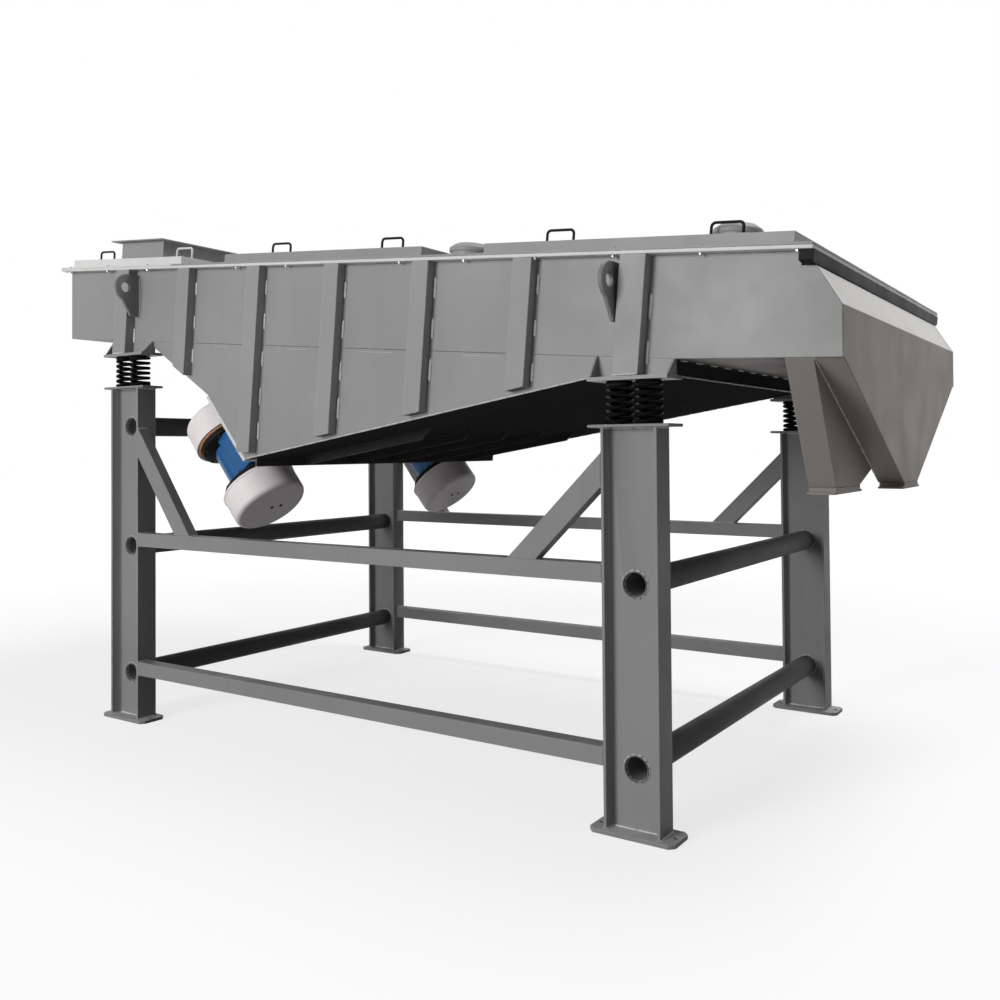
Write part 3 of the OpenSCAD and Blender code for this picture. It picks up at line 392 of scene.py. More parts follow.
edgeRounds = {
    "rolled": {"width": 0.003, "inside": 0.011, "finish": framePaint, "nodes": [
        "leg_feed_near", "leg_feed_far", "leg_discharge_near", "leg_discharge_far"]},
    "cutFrame": {"width": 0.0025, "inside": 0, "finish": framePaint, "nodes": [
        "cap_plates", "side_rails_lower", "side_rails_upper", "corner_braces"]},
    "tubes": {"width": 0.002, "inside": 0, "finish": shadedTubePaint, "nodes": [
        "cross_tubes_feed", "cross_tubes_discharge"]},
    "sheet": {"width": 0.002, "inside": 0, "finish": boxPaint, "nodes": [
        "side_plate_near", "side_plate_far", "hopper_side_near", "hopper_side_far", "feed_end_wall", "feed_floor",
        "hopper_back", "spring_brackets", "gap_plates", "feed_inlet"]},
    # the flange and motor plate take the pale paint as a painted highlight
    "highlitSheet": {"width": 0.002, "inside": 0, "finish": palePaint, "nodes": ["motor_plate", "top_flange"]},
    "folded": {"width": 0.004, "inside": 0.004, "finish": ribPaint, "nodes": [
        "side_ribs_near", "side_ribs_far", "spring_posts"]},
    "pans": {"width": 0.0015, "inside": 0, "finish": boxPaint, "nodes": ["cover_main", "cover_discharge"]},
    "palePan": {"width": 0.0015, "inside": 0, "finish": palePaint, "nodes": ["cover_feed"]},
    "footPlates": {"width": 0.0025, "inside": 0, "clip": 0.018, "finish": footPaint, "nodes": ["base_plates"]},
    "underside": {"width": 0.002, "inside": 0, "finish": shadedUndersidePaint, "nodes": [
        "hopper_bottom", "hopper_keels", "cross_plate"]},
    "endSheets": {"width": 0.003, "inside": 0, "plainZ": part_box("front_chute")[1].z, "plainReach": 0.03,
                  "finish": endPaint, "nodes": ["end_hood", "front_chute"]},
    "chutes": {"width": 0.002, "inside": 0, "finish": chutePaint, "nodes": ["rear_chute", "outlet_flanges"]},
    "dischargeFloor": {"width": 0.002, "inside": 0, "finish": floorPaint, "nodes": ["discharge_floor"]},
    "lugs": {"width": 0.004, "inside": 0, "finish": lugPaint, "nodes": ["lifting_lugs"]},
    "caps": {"width": 0.005, "inside": 0, "finish": boxPaint, "nodes": ["inspection_caps"]},
}
shading = {"sharp": math.radians(25), "coplanar": math.radians(0.5), "square": 1.5, "sameNormal": 0.9999,
           "samePlane": 0.0005, "bend": (0.02, 0.4), "crease": 0.9}


def bevelEdges(bm, edges, width, segments):
    bmesh.ops.bevel(bm, geom=edges, offset=width, offset_type="OFFSET", segments=segments, profile=0.5,
                    affect="EDGES", clamp_overlap=True, material=-1)


def shadeFlats(bm, planes, curved):
    # broad flat sheets keep their own normal, so that a rounded edge puts no false shading on them
    bm.normal_update()
    flats = set()
    for face in bm.faces:
        offset = face.normal.dot(face.verts[0].co)
        if any(face.normal.dot(normal) > shading["sameNormal"] and abs(offset - reach) < shading["samePlane"]
               for normal, reach in planes):
            flats.add(face)
    leastBend, mostBend = shading["bend"]
    for face in bm.faces:
        bends = [edge.calc_face_angle() for edge in face.edges if edge.is_manifold
                 and all(other in flats for other in edge.link_faces)]
        face.smooth = face not in flats or (curved and any(leastBend < bend < mostBend for bend in bends))
    for edge in bm.edges:
        edge.smooth = edge.is_manifold and edge.calc_face_angle() < shading["crease"]


def roundedNode(name, group):
    bm = nodeShape(name)
    bmesh.ops.dissolve_limit(bm, angle_limit=shading["coplanar"], verts=bm.verts, edges=bm.edges)
    bm.normal_update()
    planes = [(face.normal.copy(), face.normal.dot(face.verts[0].co)) for face in bm.faces]
    if "clip" in group:
        # the four corners of each plate, cut off flat
        upright = [edge for edge in bm.edges if edge.is_manifold and edge.is_convex
                   and edge.calc_face_angle() > shading["square"]
                   and abs(edge.verts[0].co.z - edge.verts[1].co.z) > 0.9 * edge.calc_length()]
        bevelEdges(bm, upright, group["clip"], 1)
    if group["inside"]:
        hollow = [edge for edge in bm.edges if edge.is_manifold and not edge.is_convex
                  and edge.calc_face_angle() > shading["sharp"]]
        bevelEdges(bm, hollow, group["inside"], 3)
    sharp = [edge for edge in bm.edges if edge.is_manifold and edge.is_convex
             and edge.calc_face_angle() > shading["sharp"]]
    if "plainZ" in group:
        # two sheets that run on into each other keep their butted edges square
        sharp = [edge for edge in sharp
                 if abs(edge.verts[0].co.z + edge.verts[1].co.z - 2 * group["plainZ"]) > group["plainReach"]]
    bevelEdges(bm, sharp, group["width"], 2)
    shadeFlats(bm, planes, "plainZ" not in group)
    piece = addPiece(name + "_finish", bm, group["finish"], bodyOf[name])
    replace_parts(piece, name)


for group in edgeRounds.values():
    for nodeName in group["nodes"]:
        roundedNode(nodeName, group)

# lifting handles, bent from rod; the one beside the feed collar is pale, a painted highlight
paleHandle = {"u": -1.145, "reach": 0.09}


def isPale(vert):
    return vert.co.y < 0 and abs((boxFrame.inverted() @ vert.co).x - paleHandle["u"]) < paleHandle["reach"]


handleRods = nodeShape("handles")
highlitRod = handleRods.copy()
bmesh.ops.delete(handleRods, geom=[vert for vert in handleRods.verts if isPale(vert)], context="VERTS")
bmesh.ops.delete(highlitRod, geom=[vert for vert in highlitRod.verts if not isPale(vert)], context="VERTS")
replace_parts(addPiece("handleRods", handleRods, rodPaint, "screen_box", 40), "handles")
addPiece("highlitHandle", highlitRod, palePaint, "screen_box", 40)

plainNodes = {"screen_deck": deckSteel,
              "motor_near_covers": coverPaint, "motor_far_covers": coverPaint,
              "motor_near_seals": motorSeal, "motor_far_seals": motorSeal}
for nodeName, finish in plainNodes.items():
    for materialSlot in frame["nodes"][nodeName].material_slots:
        materialSlot.material = finish
print("steelwork finished")


# coil springs between the frame and the box

coil = {"wire": 0.014, "endTurns": 0.75, "turns": 5.5, "turnSteps": 40, "wireSides": 14}
corners = ("feed_near", "feed_far", "discharge_near", "discharge_far")


def coilSpring(bm, centre, outer, low, high):
    radius = outer / 2 - coil["wire"] / 2
    rise = high - low - coil["wire"]
    foot = Matrix.Translation((centre.x + radius, centre.y, low + coil["wire"] / 2))
    ring = bmesh.ops.create_circle(bm, cap_ends=False, radius=coil["wire"] / 2, segments=coil["wireSides"],
                                   matrix=foot @ Matrix.Rotation(math.pi / 2, 4, "X"))
    geometry = ring["verts"] + list({edge for vert in ring["verts"] for edge in vert.link_edges})
    stretches = ((coil["endTurns"], 0), (coil["turns"], rise), (coil["endTurns"], 0))
    for turns, lift in stretches:
        steps = round(turns * coil["turnSteps"])
        spun = bmesh.ops.spin(bm, geom=geometry, cent=(centre.x, centre.y, 0), axis=(0, 0, 1),
                              dvec=(0, 0, lift / steps), angle=2 * math.pi * turns, steps=steps)
        geometry = spun["geom_last"]


for corner in corners:
    nodeName = "springs_" + corner
    low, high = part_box(nodeName)
    outer = high.y - low.y
    middleY = (low.y + high.y) / 2
    bm = bmesh.new()
    for x in (low.x + outer / 2, high.x - outer / 2):
        coilSpring(bm, Vector((x, middleY, 0)), outer, low.z, high.z)
    bmesh.ops.remove_doubles(bm, verts=bm.verts, dist=1e-6)
    bmesh.ops.holes_fill(bm, edges=[edge for edge in bm.edges if edge.is_boundary], sides=0)
    bmesh.ops.recalc_face_normals(bm, faces=bm.faces)
    spring = addPiece("coils_" + corner, bm, springLacquer, None, 40)
    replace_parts(spring, nodeName)
    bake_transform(spring)
print("springs wound")


# weld beads and pale lines painted as highlights, placed from one rippled template

bead = {"ripples": 4, "sides": 6, "dip": 0.78, "tip": 0.3, "radius": 0.0075, "stitch": 0.072, "pitch": 0.148,
        "clear": 0.008, "fromTop": 0.045, "topSpread": 0.03, "fromFoot": 0.01, "ringParts": 14}
# bead radius for each kind of joint, and for the pale lines painted as highlights on edges
weldAndHighlightRadius = {"hopperEdgeHighlight": 0.0035, "lug": 0.004, "postFoot": 0.004, "collar": 0.003, "crossPlate": 0.0035, "floor": 0.004,
        "chute": 0.0035, "leg": 0.006, "tube": 0.006, "rail": 0.004, "brace": 0.004}


def beadTemplate():
    bm = bmesh.new()
    step = 0.5 / bead["ripples"]
    profile = [(0, bead["tip"])]
    for i in range(2 * bead["ripples"] - 1):
        profile.append(((i + 1) * step, 1.0 if i % 2 == 0 else bead["dip"]))
    lathe(bm, profile + [(1, bead["tip"])], bead["sides"])
    bmesh.ops.holes_fill(bm, edges=[edge for edge in bm.edges if edge.is_boundary], sides=0)
    bmesh.ops.recalc_face_normals(bm, faces=bm.faces)
    return meshOf("beadTemplate", bm)


beadMesh = beadTemplate()


def stamp(bm, template, matrix):
    copy = template.copy()
    copy.transform(matrix)
    bm.from_mesh(copy)
    bpy.data.meshes.remove(copy)


def layBead(bm, start, end, radius=bead["radius"]):
    start, end = Vector(start), Vector(end)
    run = end - start
    count = max(1, round(run.length / bead["stitch"]))
    turn = run.to_track_quat("X", "Z").to_matrix().to_4x4()
    for i in range(count):
        size = Matrix.Diagonal((run.length / count, radius, radius, 1))
        stamp(bm, beadMesh, Matrix.Translation(start + run * (i / count)) @ turn @ size)


def ringBead(bm, centre, radius, normal, beadRadius):
    turn = Vector(normal).to_track_quat("Z", "X").to_matrix()
    parts = bead["ringParts"]
    angles = [2 * math.pi * i / parts for i in range(parts + 1)]
    points = [Vector(centre) + turn @ Vector((radius * math.cos(angle), radius * math.sin(angle), 0))
              for angle in angles]
    for first, second in zip(points, points[1:]):
        layBead(bm, first, second, beadRadius)


def stitchRow(bm, edgeU, y, top, foot):
    # stitches down one edge of a stiffener, in the box frame
    w = top - bead["fromTop"] - bead["topSpread"] * diceRoll.random()
    while w - bead["stitch"] > foot + 0.012:
        length = bead["stitch"] * (0.85 + 0.4 * diceRoll.random())
        layBead(bm, inBox(edgeU, y, w), inBox(edgeU, y, max(w - length, foot + bead["fromFoot"])))
        w -= bead["pitch"] * (0.92 + 0.2 * diceRoll.random())


# beads on the box, with pale lines along some edges that are painted highlights
boxWeldsAndHighlights = bmesh.new()
seamW = spanOf(islands("side_plate_near", boxFrame)[0])[0].z
ribEdges = []
for side, nodeName in ((-1, "side_ribs_near"), (1, "side_ribs_far")):
    for points in islands(nodeName, boxFrame):
        low, high = spanOf(points)
        for edgeU, outward in ((low.x, -1), (high.x, 1)):
            foot = min(point.z for point in points if abs(point.x - edgeU) < 1e-4)
            stitchRow(boxWeldsAndHighlights, edgeU + outward * bead["clear"], side * sideY, high.z, foot)
        if side < 0:
            ribEdges.append((low.x, high.x))
ribEdges.sort()

# the seam under the side plates, with a few short runs where it was touched up
seam = {"radius": 0.0016, "touchUp": 0.0011, "drop": 0.012, "ribClear": 0.02, "shares": (0.3, 0.35, 0.55, 0.5)}
plateSeams = bmesh.new()
for side in (-1, 1):
    for (leftRib, rightRib), share in zip(zip(ribEdges, ribEdges[1:]), seam["shares"]):
        gapStart = leftRib[1] + seam["ribClear"]
        gapEnd = rightRib[0] - seam["ribClear"]
        layBead(plateSeams, inBox(gapStart, side * sideY, seamW), inBox(gapEnd, side * sideY, seamW), seam["radius"])
        lead = (gapEnd - gapStart) * (1 - share) * diceRoll.uniform(0.4, 0.9)
        touchEnd = gapStart + lead + (gapEnd - gapStart) * share
        layBead(boxWeldsAndHighlights, inBox(gapStart + lead, side * sideY, seamW - seam["drop"]),
                inBox(touchEnd, side * sideY, seamW - seam["drop"]), seam["touchUp"])
addPiece("plateSeams", plateSeams, seamPaint, "screen_box", 60)

# a pale line along the cut lower edge of the hopper sides, a painted highlight
hopperHighlightRise = 0.002
for side, nodeName in ((-1, "hopper_side_near"), (1, "hopper_side_far")):
    points = islands(nodeName, boxFrame)[0]
    tip = min(points, key=lambda point: point.z)
    end = max(points, key=lambda point: point.x)
    layBead(boxWeldsAndHighlights, inBox(tip.x, side * sideY, tip.z + hopperHighlightRise), inBox(end.x, side * sideY, end.z + hopperHighlightRise),
            weldAndHighlightRadius["hopperEdgeHighlight"])

for points in islands("lifting_lugs", Matrix()):
    low, high = spanOf(points)
    side = math.copysign(1, low.y + high.y)
    for x in (low.x, high.x):
        layBead(boxWeldsAndHighlights, (x, side * sideY, low.z), (x, side * sideY, high.z - 0.01), weldAndHighlightRadius["lug"])

for points in islands("spring_posts", boxFrame):
    low, high = spanOf(points)
    side = math.copysign(1, low.y + high.y)
    outerY = side * max(abs(low.y), abs(high.y))
    feet = []
    for u, outward in ((low.x, -1), (high.x, 1)):
        foot = min(point.z for point in points if abs(point.x - u) < 1e-4)
        stitchRow(boxWeldsAndHighlights, u + outward * bead["clear"], side * sideY, high.z - 0.05, foot)
        feet.append(Vector((u, outerY, foot)))
    layBead(boxWeldsAndHighlights, boxFrame @ feet[0], boxFrame @ feet[1], weldAndHighlightRadius["postFoot"])

inletLow, inletHigh = spanOf(islands("feed_inlet", boxFrame)[0])
collar = {"flange": 0.038}
collarU = (inletLow.x + collar["flange"], inletHigh.x - collar["flange"])
collarY = inletHigh.y - collar["flange"]
for u in collarU:
    layBead(boxWeldsAndHighlights, inBox(u, -collarY, inletLow.z), inBox(u, collarY, inletLow.z), weldAndHighlightRadius["collar"])
for y in (-collarY, collarY):
    layBead(boxWeldsAndHighlights, inBox(collarU[0], y, inletLow.z), inBox(collarU[1], y, inletLow.z), weldAndHighlightRadius["collar"])

# the cross plate under the hopper: a pale line along its lower edge as a painted highlight, and stitches where the
# floor above it starts
floorRow = {"start": 0.06, "stitch": 0.06, "pitch": 0.13, "end": 0.12, "plateRise": 0.003}
plateLow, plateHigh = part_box("cross_plate")
plateEdge = plateLow.z + floorRow["plateRise"]
layBead(boxWeldsAndHighlights, (plateHigh.x, plateLow.y, plateEdge), (plateHigh.x, plateHigh.y, plateEdge), weldAndHighlightRadius["crossPlate"])
floorStart = spanOf(islands("discharge_floor", boxFrame)[0])[0]
y = -sideY + floorRow["start"]
while y < sideY - floorRow["end"]:
    layBead(boxWeldsAndHighlights, inBox(floorStart.x, y, floorStart.z), inBox(floorStart.x, y + floorRow["stitch"], floorStart.z),
            weldAndHighlightRadius["floor"])
    y += floorRow["pitch"]

# a pale bead down the rear edges of the front chute, a painted edge highlight where the chutes meet
chutePoints = islands("front_chute", Matrix())[0]
chuteLow = spanOf(chutePoints)[0]
for side in (-1, 1):
    rear = [point for point in chutePoints if point.x < chuteLow.x + 0.001 and side * point.y > 0]
    topPoint = max(rear, key=lambda point: side * point.y)
    footPoint = max((point for point in rear if point.z < chuteLow.z + 0.001), key=lambda point: side * point.y)
    layBead(boxWeldsAndHighlights, topPoint, footPoint, weldAndHighlightRadius["chute"])
addPiece("boxWeldsAndHighlights", boxWeldsAndHighlights, weldAndHighlightPaint, "screen_box", 60)

frameWelds = bmesh.new()
legSection = {"web": 0.008, "flange": 0.011}
for corner in corners:
    low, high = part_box("leg_" + corner)
    side = math.copysign(1, low.y)
    innerY = side * min(abs(low.y), abs(high.y))
    outerY = side * max(abs(low.y), abs(high.y))
    webY = (low.y + high.y) / 2
    insideX = (low.x + legSection["flange"], high.x - legSection["flange"])
    for z in (low.z, high.z):
        for x in (low.x, high.x, *insideX):
            layBead(frameWelds, (x, innerY, z), (x, outerY, z), weldAndHighlightRadius["leg"])
        for y in (webY - legSection["web"] / 2, webY + legSection["web"] / 2):
            layBead(frameWelds, (insideX[0], y, z), (insideX[1], y, z), weldAndHighlightRadius["leg"])

for nodeName in ("side_rails_lower", "side_rails_upper"):
    for points in islands(nodeName, Matrix()):
        low, high = spanOf(points)
        side = math.copysign(1, low.y)
        innerY = side * min(abs(low.y), abs(high.y))
        for x in (low.x, high.x):
            layBead(frameWelds, (x, low.y, high.z), (x, high.y, high.z), weldAndHighlightRadius["rail"])
            layBead(frameWelds, (x, low.y, low.z), (x, high.y, low.z), weldAndHighlightRadius["rail"])
            layBead(frameWelds, (x, innerY, low.z), (x, innerY, high.z), weldAndHighlightRadius["rail"])

for nodeName in ("cross_tubes_feed", "cross_tubes_discharge"):
    corner = "leg_" + nodeName.split("_")[-1] + "_far"
    webY = sum(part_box(corner)[end].y for end in (0, 1)) / 2
    for points in islands(nodeName, Matrix()):
        low, high = spanOf(points)
        middle = (low + high) / 2
        for side in (-1, 1):
            for y in (webY - legSection["web"] / 2, webY + legSection["web"] / 2):
                ringBead(frameWelds, (middle.x, side * y, middle.z), (high.z - low.z) / 2, (0, 1, 0), weldAndHighlightRadius["tube"])

for points in islands("corner_braces", Matrix()):
    low, high = spanOf(points)
    side = math.copysign(1, low.y)
    innerY = side * min(abs(low.y), abs(high.y))
    legX = low.x if low.x < 0 else high.x
    atLeg = [point.z for point in points if abs(point.x - legX) < 1e-4]
    atRail = [point.x for point in points if abs(point.z - low.z) < 1e-4]
    layBead(frameWelds, (legX, innerY, min(atLeg)), (legX, innerY, max(atLeg)), weldAndHighlightRadius["brace"])
    layBead(frameWelds, (min(atRail), innerY, low.z), (max(atRail), innerY, low.z), weldAndHighlightRadius["brace"])
    for z in (min(atLeg), max(atLeg)):
        layBead(frameWelds, (legX, low.y, z), (legX, high.y, z), weldAndHighlightRadius["brace"])
    for x in (min(atRail), max(atRail)):
        layBead(frameWelds, (x, low.y, low.z), (x, high.y, low.z), weldAndHighlightRadius["brace"])
addPiece("frameWelds", frameWelds, weldAndHighlightPaint, "support_frame", 60)
print("welds laid")


# hexagon bolts through the cover rims and the flange

bolt = {"across": 0.010, "head": 0.0045, "washer": 0.013, "washerThick": 0.0015, "thread": 0.006, "tail": 0.003,
        "spacing": 0.30, "edgeIn": 0.018, "endIn": 0.05, "crown": 0.0012, "point": 0.0015}


def boltTemplate():
    bm = bmesh.new()
    radius = bolt["across"] / 2 / math.cos(math.pi / 6)
    bmesh.ops.create_cone(bm, cap_ends=True, segments=20, radius1=bolt["washer"] / 2, radius2=bolt["washer"] / 2,
                          depth=bolt["washerThick"], matrix=Matrix.Translation((0, 0, bolt["washerThick"] / 2)))
    head = bmesh.ops.create_cone(bm, cap_ends=True, segments=6, radius1=radius, radius2=radius, depth=bolt["head"],
                                 matrix=Matrix.Translation((0, 0, bolt["washerThick"] + bolt["head"] / 2)))
    crown = [edge for edge in {edge for vert in head["verts"] for edge in vert.link_edges}
             if all(vert.co.z > bolt["washerThick"] + 0.9 * bolt["head"] for vert in edge.verts)]
    bevelEdges(bm, crown, bolt["crown"], 2)
    return meshOf("boltTemplate", bm)


def threadTemplate():
    # the nut's underside with the bolt's end standing out of it
    bm = bmesh.new()
    bm.from_mesh(boltMesh)
    reach = bolt["washerThick"] + bolt["head"]
    radius = bolt["thread"] / 2
    end = bmesh.ops.create_cone(bm, cap_ends=True, segments=12, radius1=radius, radius2=radius, depth=bolt["tail"],
                                matrix=Matrix.Translation((0, 0, reach + bolt["tail"] / 2)))
    rim = [edge for edge in {edge for vert in end["verts"] for edge in vert.link_edges}
           if all(vert.co.z > reach + 0.9 * bolt["tail"] for vert in edge.verts)]
    bevelEdges(bm, rim, bolt["point"], 1)
    return meshOf("threadTemplate", bm)


boltMesh = boltTemplate()
threadMesh = threadTemplate()
flangeLow, flangeHigh = spanOf(islands("top_flange", boxFrame)[0])
rimTop = spanOf(islands("gap_plates", boxFrame)[0])[1].z
flip = Matrix.Rotation(math.pi, 4, "X")


def bolted(heads, nuts, u, y):
    spin = Matrix.Rotation(diceRoll.random() * math.pi, 4, "Z")
    stamp(heads, boltMesh, boxFrame @ Matrix.Translation((u, y, rimTop)) @ spin)
    stamp(nuts, threadMesh, boxFrame @ Matrix.Translation((u, y, flangeLow.z)) @ flip @ spin)


# a near-black strip under the flange at the discharge end, with rounded ends: a rubber apron, and painted shade of
# the recess behind it
apron = {"back": 0.0415, "front": -0.004, "drop": 0.0415, "endIn": 0.006, "rounding": 0.014}
apronAndShadeStrip = bmesh.new()
apronLow = Vector((flangeHigh.x - apron["back"], -flangeY + apron["endIn"], flangeLow.z - apron["drop"]))
apronHigh = Vector((flangeHigh.x - apron["front"], flangeY - apron["endIn"], flangeLow.z))
bmesh.ops.create_cube(apronAndShadeStrip, size=1.0, matrix=Matrix.Translation((apronLow + apronHigh) / 2)
                      @ Matrix.Diagonal((*(apronHigh - apronLow), 1)))
lowerEdges = [edge for edge in apronAndShadeStrip.edges if all(vert.co.z < apronLow.z + 0.001 for vert in edge.verts)]
bevelEdges(apronAndShadeStrip, lowerEdges, apron["rounding"], 4)
apronAndShadeStrip.transform(boxFrame)
addPiece("endApronAndShade", apronAndShadeStrip, shieldPaint, "screen_box", 40)

rimHeads, rimNuts = bmesh.new(), bmesh.new()
boltCount = round((flangeHigh.x - flangeLow.x - 2 * bolt["edgeIn"]) / bolt["spacing"])
for i in range(boltCount + 1):
    u = flangeLow.x + bolt["endIn"] + (flangeHigh.x - flangeLow.x - 2 * bolt["endIn"]) * i / boltCount
    for side in (-1, 1):
        bolted(rimHeads, rimNuts, u, side * (flangeY - bolt["edgeIn"]))
addPiece("rimHeads", rimHeads, boxPaint, "screen_box", 30)
addPiece("rimNuts", rimNuts, zincSteel, "screen_box", 30)
print("rim bolts set")


# vibration motors: barrel, end shields, feet, cover bands and screws

motor = {"barrel": 0.106, "shield": 0.150, "shieldIn": 0.006, "shieldThick": 0.026, "footY": 0.090,
         "footWide": 0.062, "footLug": 0.036, "lugThick": 0.024, "boltX": 0.068, "shieldBolts": 8,
         "screwOff": 0.046, "band": 0.012, "bandProud": 0.0025, "studScale": 1.3, "boltScale": 2.2}


def motorFrame(side):
    turned = boxFrame.to_3x3() @ Matrix.Rotation(math.radians(screenBox["plateAngle"]), 3, "Y")
    turn = turned.to_4x4()
    low, high = spanOf([point for island in islands(f"motor_{side}_covers", turn) for point in island])
    return Matrix.Translation(turned @ ((low + high) / 2)) @ turn, (high.x - low.x) / 2


def boxBlock(bm, low, high, rounding):
    size = Vector(high) - Vector(low)
    middle = (Vector(high) + Vector(low)) / 2
    made = bmesh.ops.create_cube(bm, size=1.0, matrix=Matrix.Translation(middle) @ Matrix.Diagonal((*size, 1)))
    bevelEdges(bm, list({edge for vert in made["verts"] for edge in vert.link_edges}), rounding, 3)


def motorHousing(side, place, barrelHalf, footTop):
    body = bmesh.new()
    neck = barrelHalf - motor["shieldIn"] - motor["shieldThick"]
    barrel = motor["barrel"]
    lathe(body, [(-neck - 0.004, 0.02), (-neck - 0.004, barrel - 0.004), (-neck + 0.02, barrel - 0.004),
                 (-neck + 0.026, barrel), (neck - 0.026, barrel), (neck - 0.02, barrel - 0.004),
                 (neck + 0.004, barrel - 0.004), (neck + 0.004, 0.02)], 64)
    for y in (-motor["footY"], motor["footY"]):
        outward = math.copysign(1, y)
        boxBlock(body, (-neck, y - motor["footWide"] / 2, 0.02), (neck, y + motor["footWide"] / 2, footTop), 0.008)
        edgeY = y + outward * motor["footWide"] / 2
        lugSpan = sorted((edgeY - outward * 0.01, edgeY + outward * motor["footLug"]))
        boxBlock(body, (-neck, lugSpan[0], footTop - motor["lugThick"]), (neck, lugSpan[1], footTop), 0.006)
    body.transform(place)
    housing = addPiece(f"motor_{side}_body", body, motorPaint, "screen_box", 30)
    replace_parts(housing, f"motor_{side}_housing")

    shields = bmesh.new()
    shield = motor["shield"]
    for end in (-1, 1):
        outer = barrelHalf - motor["shieldIn"]
        inner = outer - motor["shieldThick"]
        lathe(shields, [(end * outer, 0.03), (end * outer, shield - 0.003), (end * (outer - 0.003), shield),
                        (end * (inner + 0.006), shield), (end * inner, shield - 0.008),
                        (end * (inner - 0.012), barrel + 0.012), (end * (inner - 0.016), barrel - 0.002)], 72)
    shields.transform(place)
    addPiece(f"motor_{side}_shields", shields, shieldPaint, "screen_box", 35)

    studs = bmesh.new()
    for end in (-1, 1):
        face = end * (barrelHalf - motor["shieldIn"] - motor["shieldThick"])
        for i in range(motor["shieldBolts"]):
            angle = 2 * math.pi * (i + 0.5) / motor["shieldBolts"]
            spot = Matrix.Rotation(angle, 4, "X") @ Matrix.Translation((face, 0, shield - 0.016))
            outward = Matrix.Rotation(-end * math.pi / 2, 4, "Y")
            stamp(studs, boltMesh, place @ spot @ outward @ Matrix.Scale(motor["studScale"], 4))
    addPiece(f"motor_{side}_studs", studs, shieldPaint, "screen_box", 30)

    fixings = bmesh.new()
    for y in (-motor["footY"], motor["footY"]):
        boltY = y + math.copysign(motor["footWide"] / 2 + motor["footLug"] / 2, y)
        for x in (-motor["boltX"], 0, motor["boltX"]):
            spot = Matrix.Translation((x, boltY, footTop - motor["lugThick"])) @ flip
            stamp(fixings, boltMesh, place @ (spot @ Matrix.Scale(motor["boltScale"], 4)))
    addPiece(f"motor_{side}_bolts", fixings, zincSteel, "screen_box", 30)


def coverFittings(side, place, barrelHalf, half, coverRadius):
    bands = bmesh.new()
    for end in (-1, 1):
        start = end * barrelHalf
        lathe(bands, [(start, coverRadius - 0.004), (start, coverRadius + motor["bandProud"] - 0.001),
                      (start + end * 0.001, coverRadius + motor["bandProud"]),
                      (start + end * (motor["band"] - 0.002), coverRadius + motor["bandProud"]),
                      (start + end * motor["band"], coverRadius - 0.001)], 96)
    bands.transform(place)
    addPiece(f"motor_{side}_bands", bands, coverPaint, "screen_box", 35)

    screws = bmesh.new()
    for end in (-1, 1):
        for offset in (0, motor["screwOff"]):
            spot = Matrix.Translation((end * half, offset, 0.25 * offset))
            outward = Matrix.Rotation(end * math.pi / 2, 4, "Y")
            stamp(screws, boltMesh, place @ spot @ outward @ Matrix.Diagonal((1.2, 1.2, 0.65, 1)))
    addPiece(f"motor_{side}_screws", screws, shieldPaint, "screen_box", 30)


for side in ("near", "far"):
    place, half = motorFrame(side)
    coverSpan = spanOf(islands(f"motor_{side}_covers", place)[0])
    coverRadius = (coverSpan[1].y - coverSpan[0].y) / 2
    barrelHalf = min(abs(coverSpan[0].x), abs(coverSpan[1].x))
    footTop = spanOf(islands(f"motor_{side}_housing", place)[0])[1].z
    motorHousing(side, place, barrelHalf, footTop)
    coverFittings(side, place, barrelHalf, half, coverRadius)
print("motors dressed")


# woven wire on the screen deck, seen through the feed collar

cloth = {"pitch": 0.016, "wire": 0.003, "edge": 0.008}


def wireCloth():
    low, high = spanOf(islands("screen_deck", boxFrame)[0])
    bm = bmesh.new()
    rod = bmesh.new()
    bmesh.ops.create_cone(rod, cap_ends=True, segments=6, radius1=0.5, radius2=0.5, depth=1.0)
    rodMesh = meshOf("clothRod", rod)
    wire = cloth["wire"]
    lengthU = high.x - low.x - 2 * cloth["edge"]
    lengthY = high.y - low.y - 2 * cloth["edge"]
    middle = (low + high) / 2
    alongU, alongY = (Matrix.Rotation(math.pi / 2, 4, axis) for axis in ("Y", "X"))
    for i in range(int(lengthY / cloth["pitch"]) + 1):
        spot = Matrix.Translation((middle.x, low.y + cloth["edge"] + i * cloth["pitch"], high.z + wire / 2))
        stamp(bm, rodMesh, boxFrame @ spot @ alongU @ Matrix.Diagonal((wire, wire, lengthU, 1)))
    for i in range(int(lengthU / cloth["pitch"]) + 1):
        spot = Matrix.Translation((low.x + cloth["edge"] + i * cloth["pitch"], middle.y, high.z + 1.4 * wire))
        stamp(bm, rodMesh, boxFrame @ spot @ alongY @ Matrix.Diagonal((wire, wire, lengthY, 1)))
    addPiece("screenCloth", bm, deckSteel, "screen_box", 50)


wireCloth()
print("screen cloth laid")


# floor, light and background

studio = {"floor": 80, "floorColour": (0.30, 0.30, 0.30), "nearLift": 0.76, "nearReach": 3.0, "farReach": 9.0,
          "sky": 0.10,
          "lamps": [("keyLamp", (-2.2, -11.5, 2.9), (0, -0.9, 1.2), 5.0, 850),
                    ("topLamp", (3.0, 1.5, 8.4), (0.8, 0, 1.6), 4.0, 350),
                    ("endLamp", (6.5, -1.5, 4.6), (1.5, 0, 1.4), 3.0, 12)]}


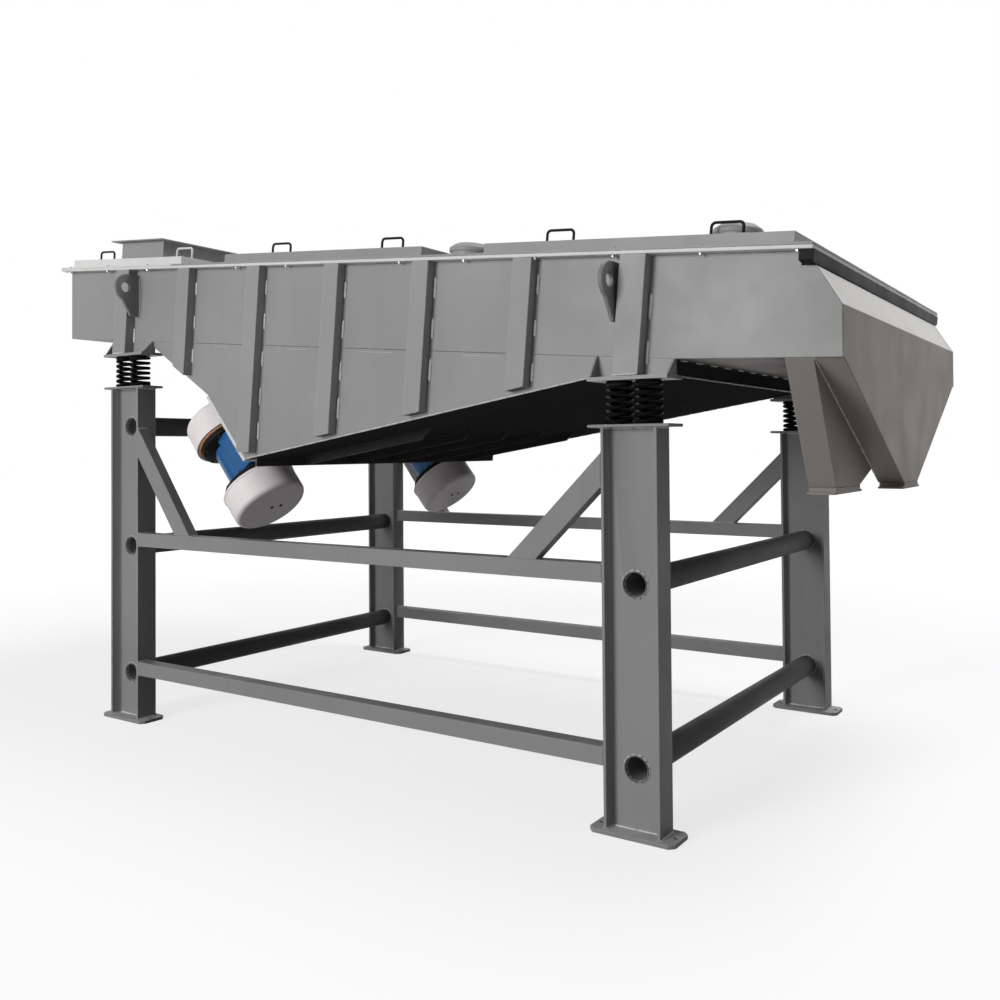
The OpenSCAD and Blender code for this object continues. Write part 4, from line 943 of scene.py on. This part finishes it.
def seenShare(tree):
    # 1 for what the camera sees straight, in gloss or through glass
    path = tree.nodes.new("ShaderNodeLightPath")
    total = path.outputs["Is Camera Ray"]
    for ray in ("Is Glossy Ray", "Is Transmission Ray"):
        node = tree.nodes.new("ShaderNodeMath")
        node.operation = "MAXIMUM"
        tree.links.new(total, node.inputs[0])
        tree.links.new(path.outputs[ray], node.inputs[1])
        total = node.outputs["Value"]
    return total


def studioFloor():
    bm = bmesh.new()
    bmesh.ops.create_grid(bm, x_segments=1, y_segments=1, size=studio["floor"] / 2)
    mesh = meshOf("studioFloor", bm)
    finish, tree, shader = startFinish("studioFloor")
    shader.inputs["Base Color"].default_value = (*studio["floorColour"], 1)
    shader.inputs["Roughness"].default_value = 0.9
    shader.inputs["Specular IOR Level"].default_value = 0.1
    coords = tree.nodes.new("ShaderNodeTexCoord")
    reach = tree.nodes.new("ShaderNodeVectorMath")
    reach.operation = "LENGTH"
    tree.links.new(coords.outputs["Object"], reach.inputs[0])
    lift = remap(tree, reach.outputs["Value"], studio["nearReach"], studio["farReach"], studio["nearLift"], 1.0)
    shader.inputs["Emission Color"].default_value = (1, 1, 1, 1)
    tree.links.new(multiply(tree, lift, seenShare(tree)), shader.inputs["Emission Strength"])
    mesh.materials.append(finish)
    floor = bpy.data.objects.new("studioFloor", mesh)
    bpy.context.scene.collection.objects.link(floor)


def studioSky():
    world = bpy.data.worlds.new("studioSky")
    world.use_nodes = True
    tree = world.node_tree
    background = tree.nodes["Background"]
    background.inputs["Color"].default_value = (1, 1, 1, 1)
    tree.links.new(remap(tree, seenShare(tree), 0, 1, studio["sky"], 1.0), background.inputs["Strength"])
    bpy.context.scene.world = world


def studioLamp(name, place, target, size, power):
    data = bpy.data.lights.new(name, "AREA")
    data.shape = "DISK"
    data.size = size
    data.energy = power
    lamp = bpy.data.objects.new(name, data)
    lamp.location = place
    lamp.rotation_euler = (Vector(target) - Vector(place)).to_track_quat("-Z", "Y").to_euler()
    bpy.context.scene.collection.objects.link(lamp)


studioFloor()
studioSky()
for lampSettings in studio["lamps"]:
    studioLamp(*lampSettings)
bpy.context.scene.view_settings.view_transform = "Standard"
print("studio lit")
